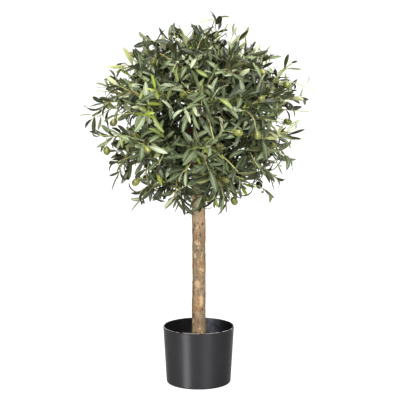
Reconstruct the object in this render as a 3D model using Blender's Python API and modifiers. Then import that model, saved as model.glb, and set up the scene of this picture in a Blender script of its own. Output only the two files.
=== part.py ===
"""Standard olive topiary: a ball of olive sprays on one straight stem, set in a round pot.

Metres, +Z up. The origin is the centre of the pot's flat underside, and the trunk stands on +Z.

The pot is a turned shell that holds a cast filling. The trunk stands on the filling with a flat cut,
runs up into the middle of the crown and ends in a flat top. Boughs leave it in five tiers, and each
bough carries one mass of foliage: a stem that branches into twigs with lance-shaped leaves. A mass
keeps to its own wedge of the crown, so the masses never meet each other, the trunk or a bough.
"""

import math

import bmesh
import bpy
import numpy as np
from mathutils import Matrix, Vector
from mathutils.bvhtree import BVHTree

SEED = 41
CLEAR = 0.0003  # gap between two pieces that meet

# Pot: a slightly conical shell with a small lip round its rim.
POT_HEIGHT = 0.1405
POT_RIM_R = 0.0870
POT_WALL_TOP_R = 0.0864
POT_BASE_R = 0.0786
POT_WALL = 0.0026
POT_FLOOR = 0.0040
POT_LIP_HEIGHT = 0.0030
POT_CORNER_R = 0.0050
POT_STEPS = 40

# Filling: cast in the pot, flat under the trunk and a little lower at the wall.
FILL_TOP = 0.1070
FILL_FLAT_R = 0.0230
FILL_EDGE_DROP = 0.0015
FILL_STEPS = 32

# Trunk: radius at heights above the filling. It narrows to the middle and swells under the crown.
TRUNK_TOP = 0.7150
TRUNK_STATIONS = (
    (0.000, 0.0178),
    (0.040, 0.0171),
    (0.110, 0.0161),
    (0.200, 0.0155),
    (0.260, 0.0158),
    (0.330, 0.0164),
    (0.450, 0.0152),
    (0.614, 0.0134),
)
TRUNK_RINGS = 17
TRUNK_SWAY = 0.0012
TRUNK_BEVEL_RESOLUTION = 5

# Crown: the furthest that any leaf reaches, as half-axes round its centre. Its foot is squarer than
# its top.
CROWN_CENTRE = np.array([0.0, 0.0, 0.655])
CROWN_REACH_SIDE = 0.283
CROWN_REACH_UP = 0.248
CROWN_ROUNDNESS_TOP = 1.9
CROWN_ROUNDNESS_FOOT = 2.5

# Tiers of masses: name, elevation and azimuth of the first in degrees, number of masses.
TIERS = (
    ("top", 90.0, 0.0, 1),
    ("upper", 50.0, 12.0, 6),
    ("middle", 14.0, 0.0, 8),
    ("lower", -24.0, 20.0, 7),
    ("bottom", -60.0, 40.0, 4),
)
TIER_JITTER_DEG = 3.0

# Boughs: from the trunk's axis at each tier's height to where their mass starts.
BOUGH_HEIGHTS = {"top": 0.700, "upper": 0.684, "middle": 0.644, "lower": 0.604, "bottom": 0.570}
BOUGH_ENTRY = 0.090  # distance of a bough's tip from the crown's centre
BOUGH_ROOT_R = 0.0034
BOUGH_TIP_R = 0.0023
BOUGH_POINTS = 3
BOUGH_STRAIGHT = 0.010  # the last stretch, which points straight into the mass

# Twigs: each mass has a stem that ends as its middle twig, and a ring of side twigs.
SIDE_TWIGS = 5
SIDE_SPREAD = 0.78  # how far the ring opens, as a share of the way to the next mass
TWIG_ENDS = (0.70, 0.84)  # share of the crown's reach where a twig stops
STEM_R = 0.0026
TWIG_ROOT_R = 0.0015
TWIG_TIP_R = 0.0013
TWIG_FORKS = (0.12, 0.52)  # where the side twigs leave the stem, as shares of its length
TWIG_SIDES = 3

# Leaves: larger than life, because they stand for the many small ones of the real spray.
LEAF_LENGTH = (0.080, 0.094)
LEAF_WIDTH = 0.36  # share of the length
LEAF_THICK = 0.014  # share of the length
LEAF_SINK = 0.0012  # how far the last leaf of a twig starts inside its end
LEAF_STATIONS = ((0.0, 0.035, 0.40), (0.46, 1.0, 1.0))  # along, width, thickness
LEAF_FREE = 0.10  # the share of a leaf, from its root, that may meet its twig and its partner
LEAF_DROOPS = (-0.05, 0.03, 0.11)
STEM_PAIRS = (0.46, 0.78)  # where the leaf pairs sit along the stem
SIDE_PAIRS = (0.62,)  # and along a side twig
PAIR_ANGLE = (42.0, 58.0)
END_ANGLE = (4.0, 18.0)
LEAF_ROLL_DEG = 30.0
LEAF_TRIES = 16

# Olives: one hangs on a short stalk from a side twig of each mass.
OLIVE_HALF = 0.0108
OLIVE_R = 0.0082
OLIVE_SEGMENTS = 6
OLIVE_RINGS = 4
OLIVE_PLACES = (0.55, 0.95)  # share along its twig
OLIVE_TRIES = 24
STALK_LENGTH = 0.0100
STALK_R = 0.0008
STALK_SAG = 0.9  # how much it leans down beside leaning out
STALK_SINK = 0.0012  # how far it runs into its olive

TRUNK_CLEAR = 0.004
HEART_R = 0.075  # no leaf comes nearer to the crown's centre than this


# ---------------------------------------------------------------- helpers


def clear_scene():
    """Removes whatever objects the file holds."""
    for obj in list(bpy.data.objects):
        bpy.data.objects.remove(obj, do_unlink=True)


def new_collection(name):
    collection = bpy.data.collections.new(name)
    bpy.context.scene.collection.children.link(collection)
    return collection


def new_material(name, colour, roughness, metallic=0.0):
    material = bpy.data.materials.new(name)
    material.use_nodes = True
    shader = material.node_tree.nodes["Principled BSDF"]
    shader.inputs["Base Color"].default_value = (*colour, 1.0)
    shader.inputs["Roughness"].default_value = roughness
    shader.inputs["Metallic"].default_value = metallic
    return material


def unit(vector):
    vector = np.asarray(vector, float)
    return vector / np.linalg.norm(vector)


def turned(vector, axis, angle):
    """The vector turned round a unit axis by an angle in radians."""
    cos, sin = math.cos(angle), math.sin(angle)
    return vector * cos + np.cross(axis, vector) * sin + axis * np.dot(axis, vector) * (1 - cos)


def across(axis):
    """A unit vector at right angles to a unit axis."""
    helper = np.array([0.0, 0.0, 1.0]) if abs(axis[2]) < 0.9 else np.array([1.0, 0.0, 0.0])
    return unit(np.cross(axis, helper))


def arc(centre_r, centre_z, radius, start_deg, end_deg, count):
    """Points of a profile along an arc, as (radius, height)."""
    angles = np.radians(np.linspace(start_deg, end_deg, count))
    return [(centre_r + radius * math.cos(a), centre_z + radius * math.sin(a)) for a in angles]


def mesh_from_curve(curve_object, collection):
    """A mesh object in place of a curve object, with its end caps welded on."""
    bpy.context.view_layer.update()
    graph = bpy.context.evaluated_depsgraph_get()
    mesh = bpy.data.meshes.new_from_object(curve_object.evaluated_get(graph))
    shell = bmesh.new()
    shell.from_mesh(mesh)
    bmesh.ops.remove_doubles(shell, verts=shell.verts, dist=1e-6)
    shell.to_mesh(mesh)
    shell.free()
    name, matrix = curve_object.name, curve_object.matrix_world.copy()
    bpy.data.objects.remove(curve_object, do_unlink=True)
    made = bpy.data.objects.new(name, mesh)
    made.matrix_world = matrix
    collection.objects.link(made)
    return made


def round_limb(name, points, radii, resolution, collection):
    """A tapering limb of round section along the points."""
    curve = bpy.data.curves.new(name, "CURVE")
    curve.dimensions = "3D"
    curve.bevel_depth = 1.0
    curve.bevel_resolution = resolution
    curve.use_fill_caps = True
    spline = curve.splines.new("POLY")
    spline.points.add(len(points) - 1)
    for point, place, radius in zip(spline.points, points, radii):
        point.co = (*place, 1.0)
        point.radius = radius
    limb = bpy.data.objects.new(name, curve)
    collection.objects.link(limb)
    return mesh_from_curve(limb, collection)


def turned_solid(name, profile, steps, collection):
    """A profile in the XZ plane, given down its outer side, turned round the Z axis."""
    mesh = bpy.data.meshes.new(name)
    edges = [(i, i + 1) for i in range(len(profile) - 1)]
    mesh.from_pydata([(r, 0.0, z) for r, z in profile], edges, [])
    solid = bpy.data.objects.new(name, mesh)
    collection.objects.link(solid)
    screw = solid.modifiers.new("turned", "SCREW")
    screw.steps = steps
    screw.render_steps = steps
    screw.use_merge_vertices = True
    screw.merge_threshold = 1e-5
    screw.use_smooth_shade = True
    return solid


def loft(name, sections, tip=None):
    """A mesh through sections of three corners each, closed by a face at its root and a face or a tip."""
    vertices = [corner for section in sections for corner in section]
    faces = [(2, 1, 0)]
    for first in range(0, 3 * (len(sections) - 1), 3):
        for side in range(3):
            after = (side + 1) % 3
            faces.append((first + side, first + after, first + 3 + after, first + 3 + side))
    last = 3 * (len(sections) - 1)
    if tip is None:
        faces.append((last, last + 1, last + 2))
    else:
        vertices.append(tip)
        faces += [(last + side, last + (side + 1) % 3, last + 3) for side in range(3)]
    mesh = bpy.data.meshes.new(name)
    mesh.from_pydata([tuple(v) for v in vertices], [], faces)
    mesh.update()
    return mesh


def cut_clear(obj, cutter):
    """Cuts an object clear of a cutter."""
    cut = obj.modifiers.new("clear", "BOOLEAN")
    cut.operation = "DIFFERENCE"
    cut.object = cutter


# ---------------------------------------------------------------- pot, filling and trunk


def pot_inner_radius(height):
    """Radius of the pot's inner wall at a height."""
    share = height / POT_HEIGHT
    return POT_BASE_R + (POT_WALL_TOP_R - POT_BASE_R) * share - POT_WALL


def build_pot(collection):
    """The pot: floor, conical wall, lip and rounded foot, turned as one shell."""
    lip_r = POT_RIM_R - POT_WALL_TOP_R + POT_WALL
    lip_centre = POT_RIM_R - lip_r / 2
    profile = [(0.0, POT_FLOOR)]
    profile += arc(
        pot_inner_radius(POT_FLOOR) - POT_CORNER_R, POT_FLOOR + POT_CORNER_R, POT_CORNER_R, -90, 0, 3
    )
    profile += arc(lip_centre, POT_HEIGHT - lip_r / 2, lip_r / 2, 180, 0, 5)
    profile += [
        (POT_RIM_R, POT_HEIGHT - POT_LIP_HEIGHT),
        (POT_WALL_TOP_R, POT_HEIGHT - POT_LIP_HEIGHT - 0.001),
    ]
    profile += arc(POT_BASE_R - POT_CORNER_R, POT_CORNER_R, POT_CORNER_R, 0, -90, 4)
    profile += [(0.0, 0.0)]
    return turned_solid("pot", profile, POT_STEPS, collection)


def build_filling(collection):
    """The cast filling: it stands clear of the pot's floor and wall, with a flat for the trunk."""
    foot = POT_FLOOR + CLEAR
    chamfer = foot + POT_CORNER_R
    edge = FILL_TOP - FILL_EDGE_DROP
    profile = [
        (0.0, FILL_TOP),
        (FILL_FLAT_R, FILL_TOP),
        (pot_inner_radius(edge) - 0.012, FILL_TOP - FILL_EDGE_DROP / 3),
        (pot_inner_radius(edge) - 2 * CLEAR, edge),
        (pot_inner_radius(chamfer) - 2 * CLEAR, chamfer),
        (pot_inner_radius(foot) - POT_CORNER_R - CLEAR, foot),
        (0.0, foot),
    ]
    return turned_solid("pot_filling", profile, FILL_STEPS, collection)


def trunk_line(count):
    """Points and radii of the trunk from its flat cut to its top, swaying a little as it rises."""
    foot = FILL_TOP + CLEAR
    heights = np.linspace(foot, TRUNK_TOP, count)
    rise = (heights - foot) / (TRUNK_TOP - foot)
    sway = TRUNK_SWAY * np.sin(math.pi * rise) * np.sin(2 * math.pi * rise)
    points = np.stack([sway, -0.7 * sway, heights], axis=1)
    stations = np.array(TRUNK_STATIONS)
    radii = np.interp(heights - foot, stations[:, 0], stations[:, 1])
    return points, radii


def trunk_radius(height):
    """The trunk's radius at a height, or 0 above its top."""
    points, radii = trunk_line(TRUNK_RINGS)
    return float(np.interp(height, points[:, 2], radii)) if height <= TRUNK_TOP else 0.0


def build_trunk(collection):
    points, radii = trunk_line(TRUNK_RINGS)
    return round_limb("trunk", points, radii, TRUNK_BEVEL_RESOLUTION, collection)


def build_trunk_cutter(collection):
    """The trunk grown by the clearance all round, which cuts the boughs' roots."""
    points, radii = trunk_line(TRUNK_RINGS)
    points[0, 2] -= CLEAR
    points[-1, 2] += CLEAR
    return round_limb("trunk_cutter", points, radii + CLEAR, TRUNK_BEVEL_RESOLUTION, collection)


# ---------------------------------------------------------------- the crown's layout


def reach_measure(offset):
    """How far an offset from the crown's centre goes towards its furthest outline, where it is 1."""
    power = CROWN_ROUNDNESS_TOP if offset[2] > 0 else CROWN_ROUNDNESS_FOOT
    side = math.hypot(offset[0], offset[1]) / CROWN_REACH_SIDE
    up = abs(offset[2]) / CROWN_REACH_UP
    return (side**power + up**power) ** (1 / power)


def reach_along(direction):
    """The crown's reach from its centre along a unit direction, in metres."""
    return 1.0 / reach_measure(direction)


def mass_directions():
    """The name of each mass and the unit direction of its middle from the crown's centre."""
    random = np.random.default_rng(SEED)
    found = []
    for tier, elevation, azimuth, count in TIERS:
        for number in range(count):
            wobble = random.uniform(-TIER_JITTER_DEG, TIER_JITTER_DEG, 2) * (count > 1)
            rise = math.radians(elevation + wobble[0])
            turn = math.radians(azimuth + 360.0 * number / count + wobble[1])
            direction = np.array(
                [math.cos(rise) * math.cos(turn), math.cos(rise) * math.sin(turn), math.sin(rise)]
            )
            found.append((tier, f"{tier}_{number + 1}", direction))
    return found


def wedge_walls(index, directions):
    """Unit normals of the planes through the crown's centre that part a mass from all the others."""
    own = directions[index]
    return np.array([unit(own - other) for i, other in enumerate(directions) if i != index])


def side_opening(index, directions):
    """Half the angle from a mass's direction to its nearest neighbour's."""
    cosines = [float(directions[index] @ other) for i, other in enumerate(directions) if i != index]
    return math.acos(max(cosines)) / 2


class Space:
    """The space that one mass may fill: its wedge of the crown, outside the heart and off the trunk."""

    def __init__(self, walls):
        self.walls = walls

    def holds(self, points, margin=CLEAR):
        offsets = np.asarray(points) - CROWN_CENTRE
        if (self.walls @ offsets.T).min() < margin:
            return False
        if min(np.linalg.norm(offsets, axis=1)) < HEART_R:
            return False
        if max(reach_measure(offset) for offset in offsets) > 1.0:
            return False
        return all(
            math.hypot(x, y) > trunk_radius(z) + TRUNK_CLEAR or z > TRUNK_TOP + TRUNK_CLEAR
            for x, y, z in points
        )


# ---------------------------------------------------------------- boughs


def bough_line(tier, direction):
    """A bough's points and radii, from inside the trunk out to where its mass starts."""
    tip = CROWN_CENTRE + BOUGH_ENTRY * direction
    start = np.array([0.0, 0.0, BOUGH_HEIGHTS[tier]])
    curved = tip - BOUGH_STRAIGHT * direction
    bend = curved - direction * 0.4 * np.linalg.norm(curved - start)
    along = np.linspace(0.0, 1.0, BOUGH_POINTS)[:, None]
    points = (1 - along) ** 2 * start + 2 * along * (1 - along) * bend + along**2 * curved
    radii = np.linspace(BOUGH_ROOT_R, BOUGH_TIP_R, BOUGH_POINTS)
    return np.vstack([points, tip]), np.append(radii, BOUGH_TIP_R)


def build_bough(tier, name, direction, cutter, collection):
    points, radii = bough_line(tier, direction)
    bough = round_limb(f"bough_{name}", points, radii, 1, collection)
    cut_clear(bough, cutter)
    return bough


# ---------------------------------------------------------------- foliage


def leaf_mesh(droop):
    """A leaf of unit length along +Y, its upper face to +Z, keeled below, its tip lowered by droop."""
    sections = []
    for along, width, thick in LEAF_STATIONS:
        half, depth = LEAF_WIDTH / 2 * width, LEAF_THICK * thick
        drop = -droop * along**2
        sections.append(
            [(half, along, drop), (-half, along, drop), (0.0, along, drop - depth)]
        )
    return loft("leaf", sections, tip=(0.0, 1.0, -droop))


def leaf_matrix(root, direction, upper, length):
    """Places a unit leaf: its root, the way it points, the way its upper face looks and its length."""
    side = unit(np.cross(direction, upper))
    face = np.cross(side, direction)
    matrix = Matrix.Identity(4)
    for row in range(3):
        matrix[row][0] = side[row] * length
        matrix[row][1] = direction[row] * length
        matrix[row][2] = face[row] * length
        matrix[row][3] = root[row]
    return matrix


def twig_mesh(start, end, start_radius, end_radius):
    """A straight three-sided twig between two points."""
    axis = unit(end - start)
    first = across(axis)
    second = np.cross(axis, first)
    angles = [2 * math.pi * side / TWIG_SIDES for side in range(TWIG_SIDES)]
    around = [first * math.cos(a) + second * math.sin(a) for a in angles]
    sections = [
        [start + start_radius * corner for corner in around],
        [end + end_radius * corner for corner in around],
    ]
    return loft("twig", sections)


def twig_lines(direction, opening, random):
    """Stem and side twigs of a mass as (start, end, start radius, end radius), the stem first."""
    root = CROWN_CENTRE + (BOUGH_ENTRY + CLEAR) * direction
    stem_end = CROWN_CENTRE + random.uniform(*TWIG_ENDS) * reach_along(direction) * direction
    lines = [(root, stem_end, STEM_R, TWIG_TIP_R)]
    first, turn = across(direction), random.uniform(0, 2 * math.pi)
    low, high = TWIG_FORKS
    for number in range(SIDE_TWIGS):
        place = low + (high - low) * ((2 * number) % SIDE_TWIGS) / (SIDE_TWIGS - 1)
        lean = opening * 2 * SIDE_SPREAD * random.uniform(0.85, 1.1) / 2
        around = turned(first, direction, turn + 2 * math.pi * number / SIDE_TWIGS)
        aim = direction * math.cos(lean) + around * math.sin(lean)
        end = CROWN_CENTRE + random.uniform(*TWIG_ENDS) * reach_along(aim) * aim
        start = root + place * (stem_end - root)
        lines.append((start, end, TWIG_ROOT_R, TWIG_TIP_R))
    return lines


def leaf_places(line, pairs, random):
    """Root, azimuth and lean of each leaf wanted on a twig: opposite pairs, then one at its end."""
    start, end = line[0], line[1]
    turn = random.uniform(0, 2 * math.pi)
    wanted = []
    for number, share in enumerate(pairs):
        root = start + share * (end - start)
        for side in (0.0, math.pi):
            azimuth = turn + number * math.pi / 2 + side
            wanted.append((root, azimuth, math.radians(random.uniform(*PAIR_ANGLE))))
    near_end = end - LEAF_SINK * unit(end - start)
    wanted.append((near_end, turn + math.pi / 2, math.radians(random.uniform(*END_ANGLE))))
    return wanted


def tree_of(corners, mesh):
    """A search tree of a piece's faces, for telling whether it meets another piece."""
    return BVHTree.FromPolygons([tuple(c) for c in corners], [tuple(p.vertices) for p in mesh.polygons])


def placed_corners(mesh, matrix):
    return np.array([matrix @ vertex.co for vertex in mesh.vertices])


def olive_mesh():
    """An olive round its middle, its long axis on Z."""
    shell = bmesh.new()
    bmesh.ops.create_uvsphere(shell, u_segments=OLIVE_SEGMENTS, v_segments=OLIVE_RINGS, radius=1.0)
    bmesh.ops.scale(shell, vec=(OLIVE_R, OLIVE_R, OLIVE_HALF), verts=shell.verts)
    mesh = bpy.data.meshes.new("olive")
    shell.to_mesh(mesh)
    shell.free()
    return mesh


def place_olive(lines, trees, space, olive, random):
    """Stalk mesh and matrix of a mass's olive, or None where no try is free of the twigs."""
    for _ in range(OLIVE_TRIES):
        start, end = lines[int(random.integers(1, len(lines)))][:2]
        root = start + random.uniform(*OLIVE_PLACES) * (end - start)
        axis = unit(end - start)
        around = turned(across(axis), axis, random.uniform(0, 2 * math.pi))
        direction = unit(around - np.array([0.0, 0.0, STALK_SAG]))
        tip = root + STALK_LENGTH * direction
        centre = tip + (OLIVE_HALF - STALK_SINK) * direction
        facing = Vector(direction).to_track_quat("Z", "Y").to_matrix().to_4x4()
        matrix = Matrix.Translation(centre) @ facing
        corners = placed_corners(olive, matrix)
        tree = tree_of(corners, olive)
        if space.holds(corners) and not any(tree.overlap(other) for other in trees):
            return twig_mesh(root, tip, STALK_R, STALK_R), matrix
    return None


def place_leaf(wanted, axis, space, taken, template, random):
    """The matrix of a leaf that stays in its space and meets no other piece, or None.

    It first stands as wanted. Where that fails it swings to either side of its place and leans in.
    """
    root, azimuth, lean = wanted
    first = across(axis)
    length = random.uniform(*LEAF_LENGTH)
    roll = math.radians(random.uniform(-LEAF_ROLL_DEG, LEAF_ROLL_DEG))
    for attempt in range(LEAF_TRIES):
        swing = (-1) ** attempt * 0.28 * ((attempt + 1) // 2)
        tilt = lean * (1 - 0.045 * attempt)
        around = turned(first, axis, azimuth + swing)
        direction = axis * math.cos(tilt) + around * math.sin(tilt)
        upper = turned(unit(np.cross(np.cross(direction, axis), direction)), direction, roll)
        matrix = leaf_matrix(root, direction, upper, length * (1 - 0.02 * attempt))
        corners = placed_corners(template, matrix)
        if not space.holds(corners[3:]):
            continue
        corners[:3] += (corners[3:6] - corners[:3]) * LEAF_FREE / LEAF_STATIONS[1][0]
        tree = tree_of(corners, template)
        if not any(tree.overlap(other) for other in taken):
            taken.append(tree)
            return matrix
    return None


def union_all(body, others):
    """Joins every object of a collection onto one body, then removes them."""
    join = body.modifiers.new("join", "BOOLEAN")
    join.operation = "UNION"
    join.operand_type = "COLLECTION"
    join.collection = others
    bpy.context.view_layer.update()
    graph = bpy.context.evaluated_depsgraph_get()
    joined = bpy.data.meshes.new_from_object(body.evaluated_get(graph))
    body.modifiers.clear()
    body.data = joined
    for obj in list(others.objects):
        bpy.data.objects.remove(obj, do_unlink=True)
    bpy.data.collections.remove(others)


def build_mass(name, index, directions, leaves, olive, collection):
    """One mass of foliage: its stem, side twigs, leaves and olive, fused into one solid."""
    random = np.random.default_rng([SEED, index])
    direction = directions[index]
    space = Space(wedge_walls(index, directions))
    lines = twig_lines(direction, side_opening(index, directions), random)
    twigs = [twig_mesh(*line) for line in lines]
    trees = [tree_of([vertex.co for vertex in twig.vertices], twig) for twig in twigs]
    stem = bpy.data.objects.new(f"foliage_{name}", twigs[0])
    collection.objects.link(stem)
    sprays = new_collection(f"sprays_{name}")
    grown = []
    hung = place_olive(lines, trees, space, olive, random)
    if hung is not None:
        stalk, matrix = hung
        fruit = bpy.data.objects.new(f"olive_{name}", olive)
        fruit.matrix_world = matrix
        sprays.objects.link(fruit)
        sprays.objects.link(bpy.data.objects.new(f"stalk_{name}", stalk))
        grown.append(tree_of(placed_corners(olive, matrix), olive))
        grown.append(tree_of(placed_corners(stalk, Matrix()), stalk))
    for number, line in enumerate(lines):
        axis = unit(line[1] - line[0])
        if number:
            sprays.objects.link(bpy.data.objects.new(f"twig_{name}_{number}", twigs[number]))
        taken = grown + trees[:number] + trees[number + 1 :]
        for wanted in leaf_places(line, SIDE_PAIRS if number else STEM_PAIRS, random):
            template = leaves[int(random.integers(len(leaves)))]
            matrix = place_leaf(wanted, axis, space, taken, template, random)
            if matrix is not None:
                leaf = bpy.data.objects.new(f"leaf_{name}", template)
                leaf.matrix_world = matrix
                sprays.objects.link(leaf)
                grown.append(taken[-1])
    union_all(stem, sprays)
    return stem


# ---------------------------------------------------------------- assembly


def main():
    clear_scene()
    plant = new_collection("olive_topiary")
    cutters = new_collection("cutters")

    plastic = new_material("pot_plastic", (0.040, 0.040, 0.043), 0.38)
    cement = new_material("filling_cement", (0.035, 0.033, 0.031), 0.90)
    bark = new_material("trunk_bark", (0.400, 0.285, 0.170), 0.85)
    bough_bark = new_material("bough_bark", (0.180, 0.120, 0.075), 0.80)
    leaf = new_material("olive_leaf", (0.130, 0.155, 0.070), 0.50)

    build_pot(plant).data.materials.append(plastic)
    build_filling(plant).data.materials.append(cement)
    trunk = build_trunk(plant)
    trunk.data.materials.append(bark)
    trunk.data.shade_smooth()
    trunk.data.set_sharp_from_angle(angle=math.radians(40))
    cutter = build_trunk_cutter(cutters)
    cutter.hide_render = True
    cutter.display_type = "WIRE"

    leaves = [leaf_mesh(droop) for droop in LEAF_DROOPS]
    olive = olive_mesh()
    masses = mass_directions()
    directions = [direction for _, _, direction in masses]
    for index, (tier, name, direction) in enumerate(masses):
        bough = build_bough(tier, name, direction, cutter, plant)
        bough.data.materials.append(bough_bark)
        bough.data.shade_smooth()
        foliage = build_mass(name, index, directions, leaves, olive, plant)
        foliage.data.materials.append(leaf)


main()
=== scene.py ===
"""Looks of a standard olive topiary: a ball of olive sprays on one straight stem in a round pot.

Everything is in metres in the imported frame: +Z up, the origin at the centre of the pot's flat
underside. The crown grows on from the boughs by the same seeded rule as its solids, and is carried
to finer twigs with every leaf and olive at its real size.
"""

from __future__ import annotations

import logging
import math
from collections.abc import Callable
from dataclasses import dataclass, field, fields, replace
from enum import Enum
from typing import Self

import bmesh
import bpy
import numpy as np
from mathutils import Matrix, Vector
from mathutils.bvhtree import BVHTree


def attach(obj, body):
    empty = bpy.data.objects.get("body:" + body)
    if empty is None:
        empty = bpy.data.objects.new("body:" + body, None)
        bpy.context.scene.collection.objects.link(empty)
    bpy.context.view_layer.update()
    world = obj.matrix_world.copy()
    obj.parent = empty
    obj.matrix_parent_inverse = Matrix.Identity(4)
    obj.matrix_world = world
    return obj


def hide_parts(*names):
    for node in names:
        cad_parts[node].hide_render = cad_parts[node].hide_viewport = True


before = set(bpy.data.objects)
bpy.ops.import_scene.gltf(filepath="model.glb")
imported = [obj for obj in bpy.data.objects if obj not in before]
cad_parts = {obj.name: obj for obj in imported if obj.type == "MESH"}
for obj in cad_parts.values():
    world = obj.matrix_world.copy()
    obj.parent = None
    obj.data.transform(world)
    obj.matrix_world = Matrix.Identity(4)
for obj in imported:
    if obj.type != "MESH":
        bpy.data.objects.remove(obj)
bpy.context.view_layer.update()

log = logging.getLogger("olive_topiary")

SEED = 41
CLEAR = 0.0003  # gap between two solids that meet
SKIN = 0.0004  # distance within which a point counts as on a wall
TINY = 1e-6  # keeps a divisor off zero
GOLDEN_ANGLE = math.radians(137.5)
BODY = "root"
WHITE = (1.0, 1.0, 1.0, 1.0)

Array = np.ndarray
Random = np.random.Generator
Socket = bpy.types.NodeSocket
Piece = bpy.types.Object
Material = bpy.types.Material
Span = tuple[float, float]
Counts = tuple[int, int]
Colour = tuple[float, float, float]
Point = tuple[float, float, float]
Twig = tuple[Array, Array, float, float]  # start, end, start radius, end radius
Layers = tuple[tuple[Counts, float], ...]  # cells round and along, and height, of each noise


# ---- vectors and noise


def unit(vectors: Array) -> Array:
    """The vectors at length 1."""
    vectors = np.asarray(vectors, float)
    return vectors / np.linalg.norm(vectors, axis=-1, keepdims=True)


def turned(vectors: Array, axes: Array, angles: Array | float) -> Array:
    """Vectors turned round unit axes.

    Formula: v cos(a) + (k x v) sin(a) + k (k . v) (1 - cos(a)).

    Args:
        vectors: Vectors, the last dimension being x, y, z.
        axes: Unit axes of the same shape.
        angles: Angles in radians, one for each vector.

    Returns:
        The turned vectors.
    """
    cos = np.cos(angles)[..., None] if np.ndim(angles) else math.cos(angles)
    sin = np.sin(angles)[..., None] if np.ndim(angles) else math.sin(angles)
    along = (axes * vectors).sum(-1, keepdims=True)
    return vectors * cos + np.cross(axes, vectors) * sin + axes * along * (1 - cos)


def across(axes: Array) -> Array:
    """A unit vector at right angles to each unit axis."""
    upright = np.abs(axes[..., 2:]) < 0.9
    helper = np.where(upright, np.array([0.0, 0.0, 1.0]), np.array([1.0, 0.0, 0.0]))
    return unit(np.cross(axes, helper))


def heading(turn: float, rise: float) -> Array:
    """The unit vector at an angle round Z and an angle above the level, in radians."""
    return np.array([math.cos(rise) * math.cos(turn), math.cos(rise) * math.sin(turn), math.sin(rise)])


def ringed(radius: Array, angle: Array, height: Array) -> Array:
    """Points round Z: (r cos(a), r sin(a), height)."""
    return np.stack([radius * np.cos(angle), radius * np.sin(angle), height], -1)


def standing(centre: Array, axis: Array) -> Matrix:
    """The matrix that stands a thing at a centre with its Z along an axis."""
    return Matrix.Translation(centre) @ Vector(axis).to_track_quat("Z", "Y").to_matrix().to_4x4()


def moved(points: Array, matrix: Matrix) -> Array:
    """The points moved by a matrix."""
    world = np.array(matrix)
    return points @ world[:3, :3].T + world[:3, 3]


def turn_from(angle: Array, azimuth_deg: float) -> Array:
    """Turn from a direction to each angle, within half a turn either way, in radians."""
    return np.angle(np.exp(1j * (angle - math.radians(azimuth_deg))))


def lattice_noise(u: Array, v: Array, cells: Counts, random: Random) -> Array:
    """Smooth random heights from -1 to 1 that join up round u.

    Formula: random values at the corners of a lattice, blended across each cell by 3t^2 - 2t^3.

    Args:
        u: Position round the piece, from 0 to 1.
        v: Position along the piece, from 0 to 1.
        cells: Number of cells round and along.
        random: Source of the lattice's values.

    Returns:
        Heights of the same shape as u.
    """
    round_cells, long_cells = cells
    lattice = random.uniform(-1, 1, (round_cells, long_cells + 2))
    x, y = (u % 1.0) * round_cells, np.clip(v, 0, 1) * long_cells
    column, row = np.floor(x).astype(int), np.floor(y).astype(int)
    s, t = x - column, y - row
    s, t = s * s * (3 - 2 * s), t * t * (3 - 2 * t)
    after = (column + 1) % round_cells
    column = column % round_cells
    low = lattice[column, row] * (1 - s) + lattice[after, row] * s
    high = lattice[column, row + 1] * (1 - s) + lattice[after, row + 1] * s
    return low * (1 - t) + high * t


def layered_noise(u: Array, v: Array, layers: Layers, random: Random) -> Array:
    """A sum of smooth noises, each with its cells round and along and its height."""
    return sum(height * lattice_noise(u, v, cells, random) for cells, height in layers)


# ---- meshes from arrays


@dataclass
class Shell:
    """Points and faces of a piece, gathered as arrays before they become one mesh.

    Attributes:
        points: Arrays of points, each of shape (n, 3).
        faces: Arrays of faces, each of shape (n, corners), counted from the first point of all.
        slots: The material slot of each face, one array for each array of faces.
    """

    points: list[Array] = field(default_factory=list)
    faces: list[Array] = field(default_factory=list)
    slots: list[Array] = field(default_factory=list)

    def add(self, points: Array, faces: list[Array], slots: list[Array] | None = None) -> None:
        """Adds points and the faces between them.

        Args:
            points: Points of shape (n, 3).
            faces: Arrays of faces, counted from the first of these points.
            slots: The material slot of each face. None means the first slot for all.
        """
        first = sum(len(earlier) for earlier in self.points)
        self.points.append(np.asarray(points, float).reshape(-1, 3))
        for index, group in enumerate(faces):
            self.faces.append(group + first)
            self.slots.append(np.zeros(len(group), int) if slots is None else slots[index])

    def build(
        self, name: str, materials: list[Material], sharp_deg: float, slot: str, nodes: list[str]
    ) -> Piece:
        """Makes the piece on the fixed body, in place of its solids.

        Args:
            name: Name of the object.
            materials: Materials of the slots.
            sharp_deg: Angle above which an edge stays sharp.
            slot: Not used; callers pass the name of the finish that the piece wears.
            nodes: The solids that it stands for.

        Returns:
            The new object, at the origin.
        """
        points = np.concatenate(self.points)
        counts = np.concatenate([np.full(len(group), group.shape[1]) for group in self.faces])
        corners = np.concatenate([group.ravel() for group in self.faces])
        mesh = bpy.data.meshes.new(name)
        mesh.vertices.add(len(points))
        mesh.vertices.foreach_set("co", points.astype(np.float32).ravel())
        mesh.loops.add(len(corners))
        mesh.loops.foreach_set("vertex_index", corners.astype(np.int32))
        mesh.polygons.add(len(counts))
        mesh.polygons.foreach_set("loop_start", (np.cumsum(counts) - counts).astype(np.int32))
        mesh.polygons.foreach_set("material_index", np.concatenate(self.slots).astype(np.int32))
        for material in materials:
            mesh.materials.append(material)
        mesh.update(calc_edges=True)
        mesh.validate()
        mesh.shade_smooth()
        mesh.set_sharp_from_angle(angle=math.radians(sharp_deg))
        piece = bpy.data.objects.new(name, mesh)
        bpy.context.scene.collection.objects.link(piece)
        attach(piece, BODY)
        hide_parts(*nodes)
        return piece


def store(piece: Piece, name: str, values: Array) -> None:
    """Stores a number for each point of a piece, for its material to read."""
    attribute = piece.data.attributes.new(name, "FLOAT", "POINT")
    attribute.data.foreach_set("value", values.astype(np.float32))


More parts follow.
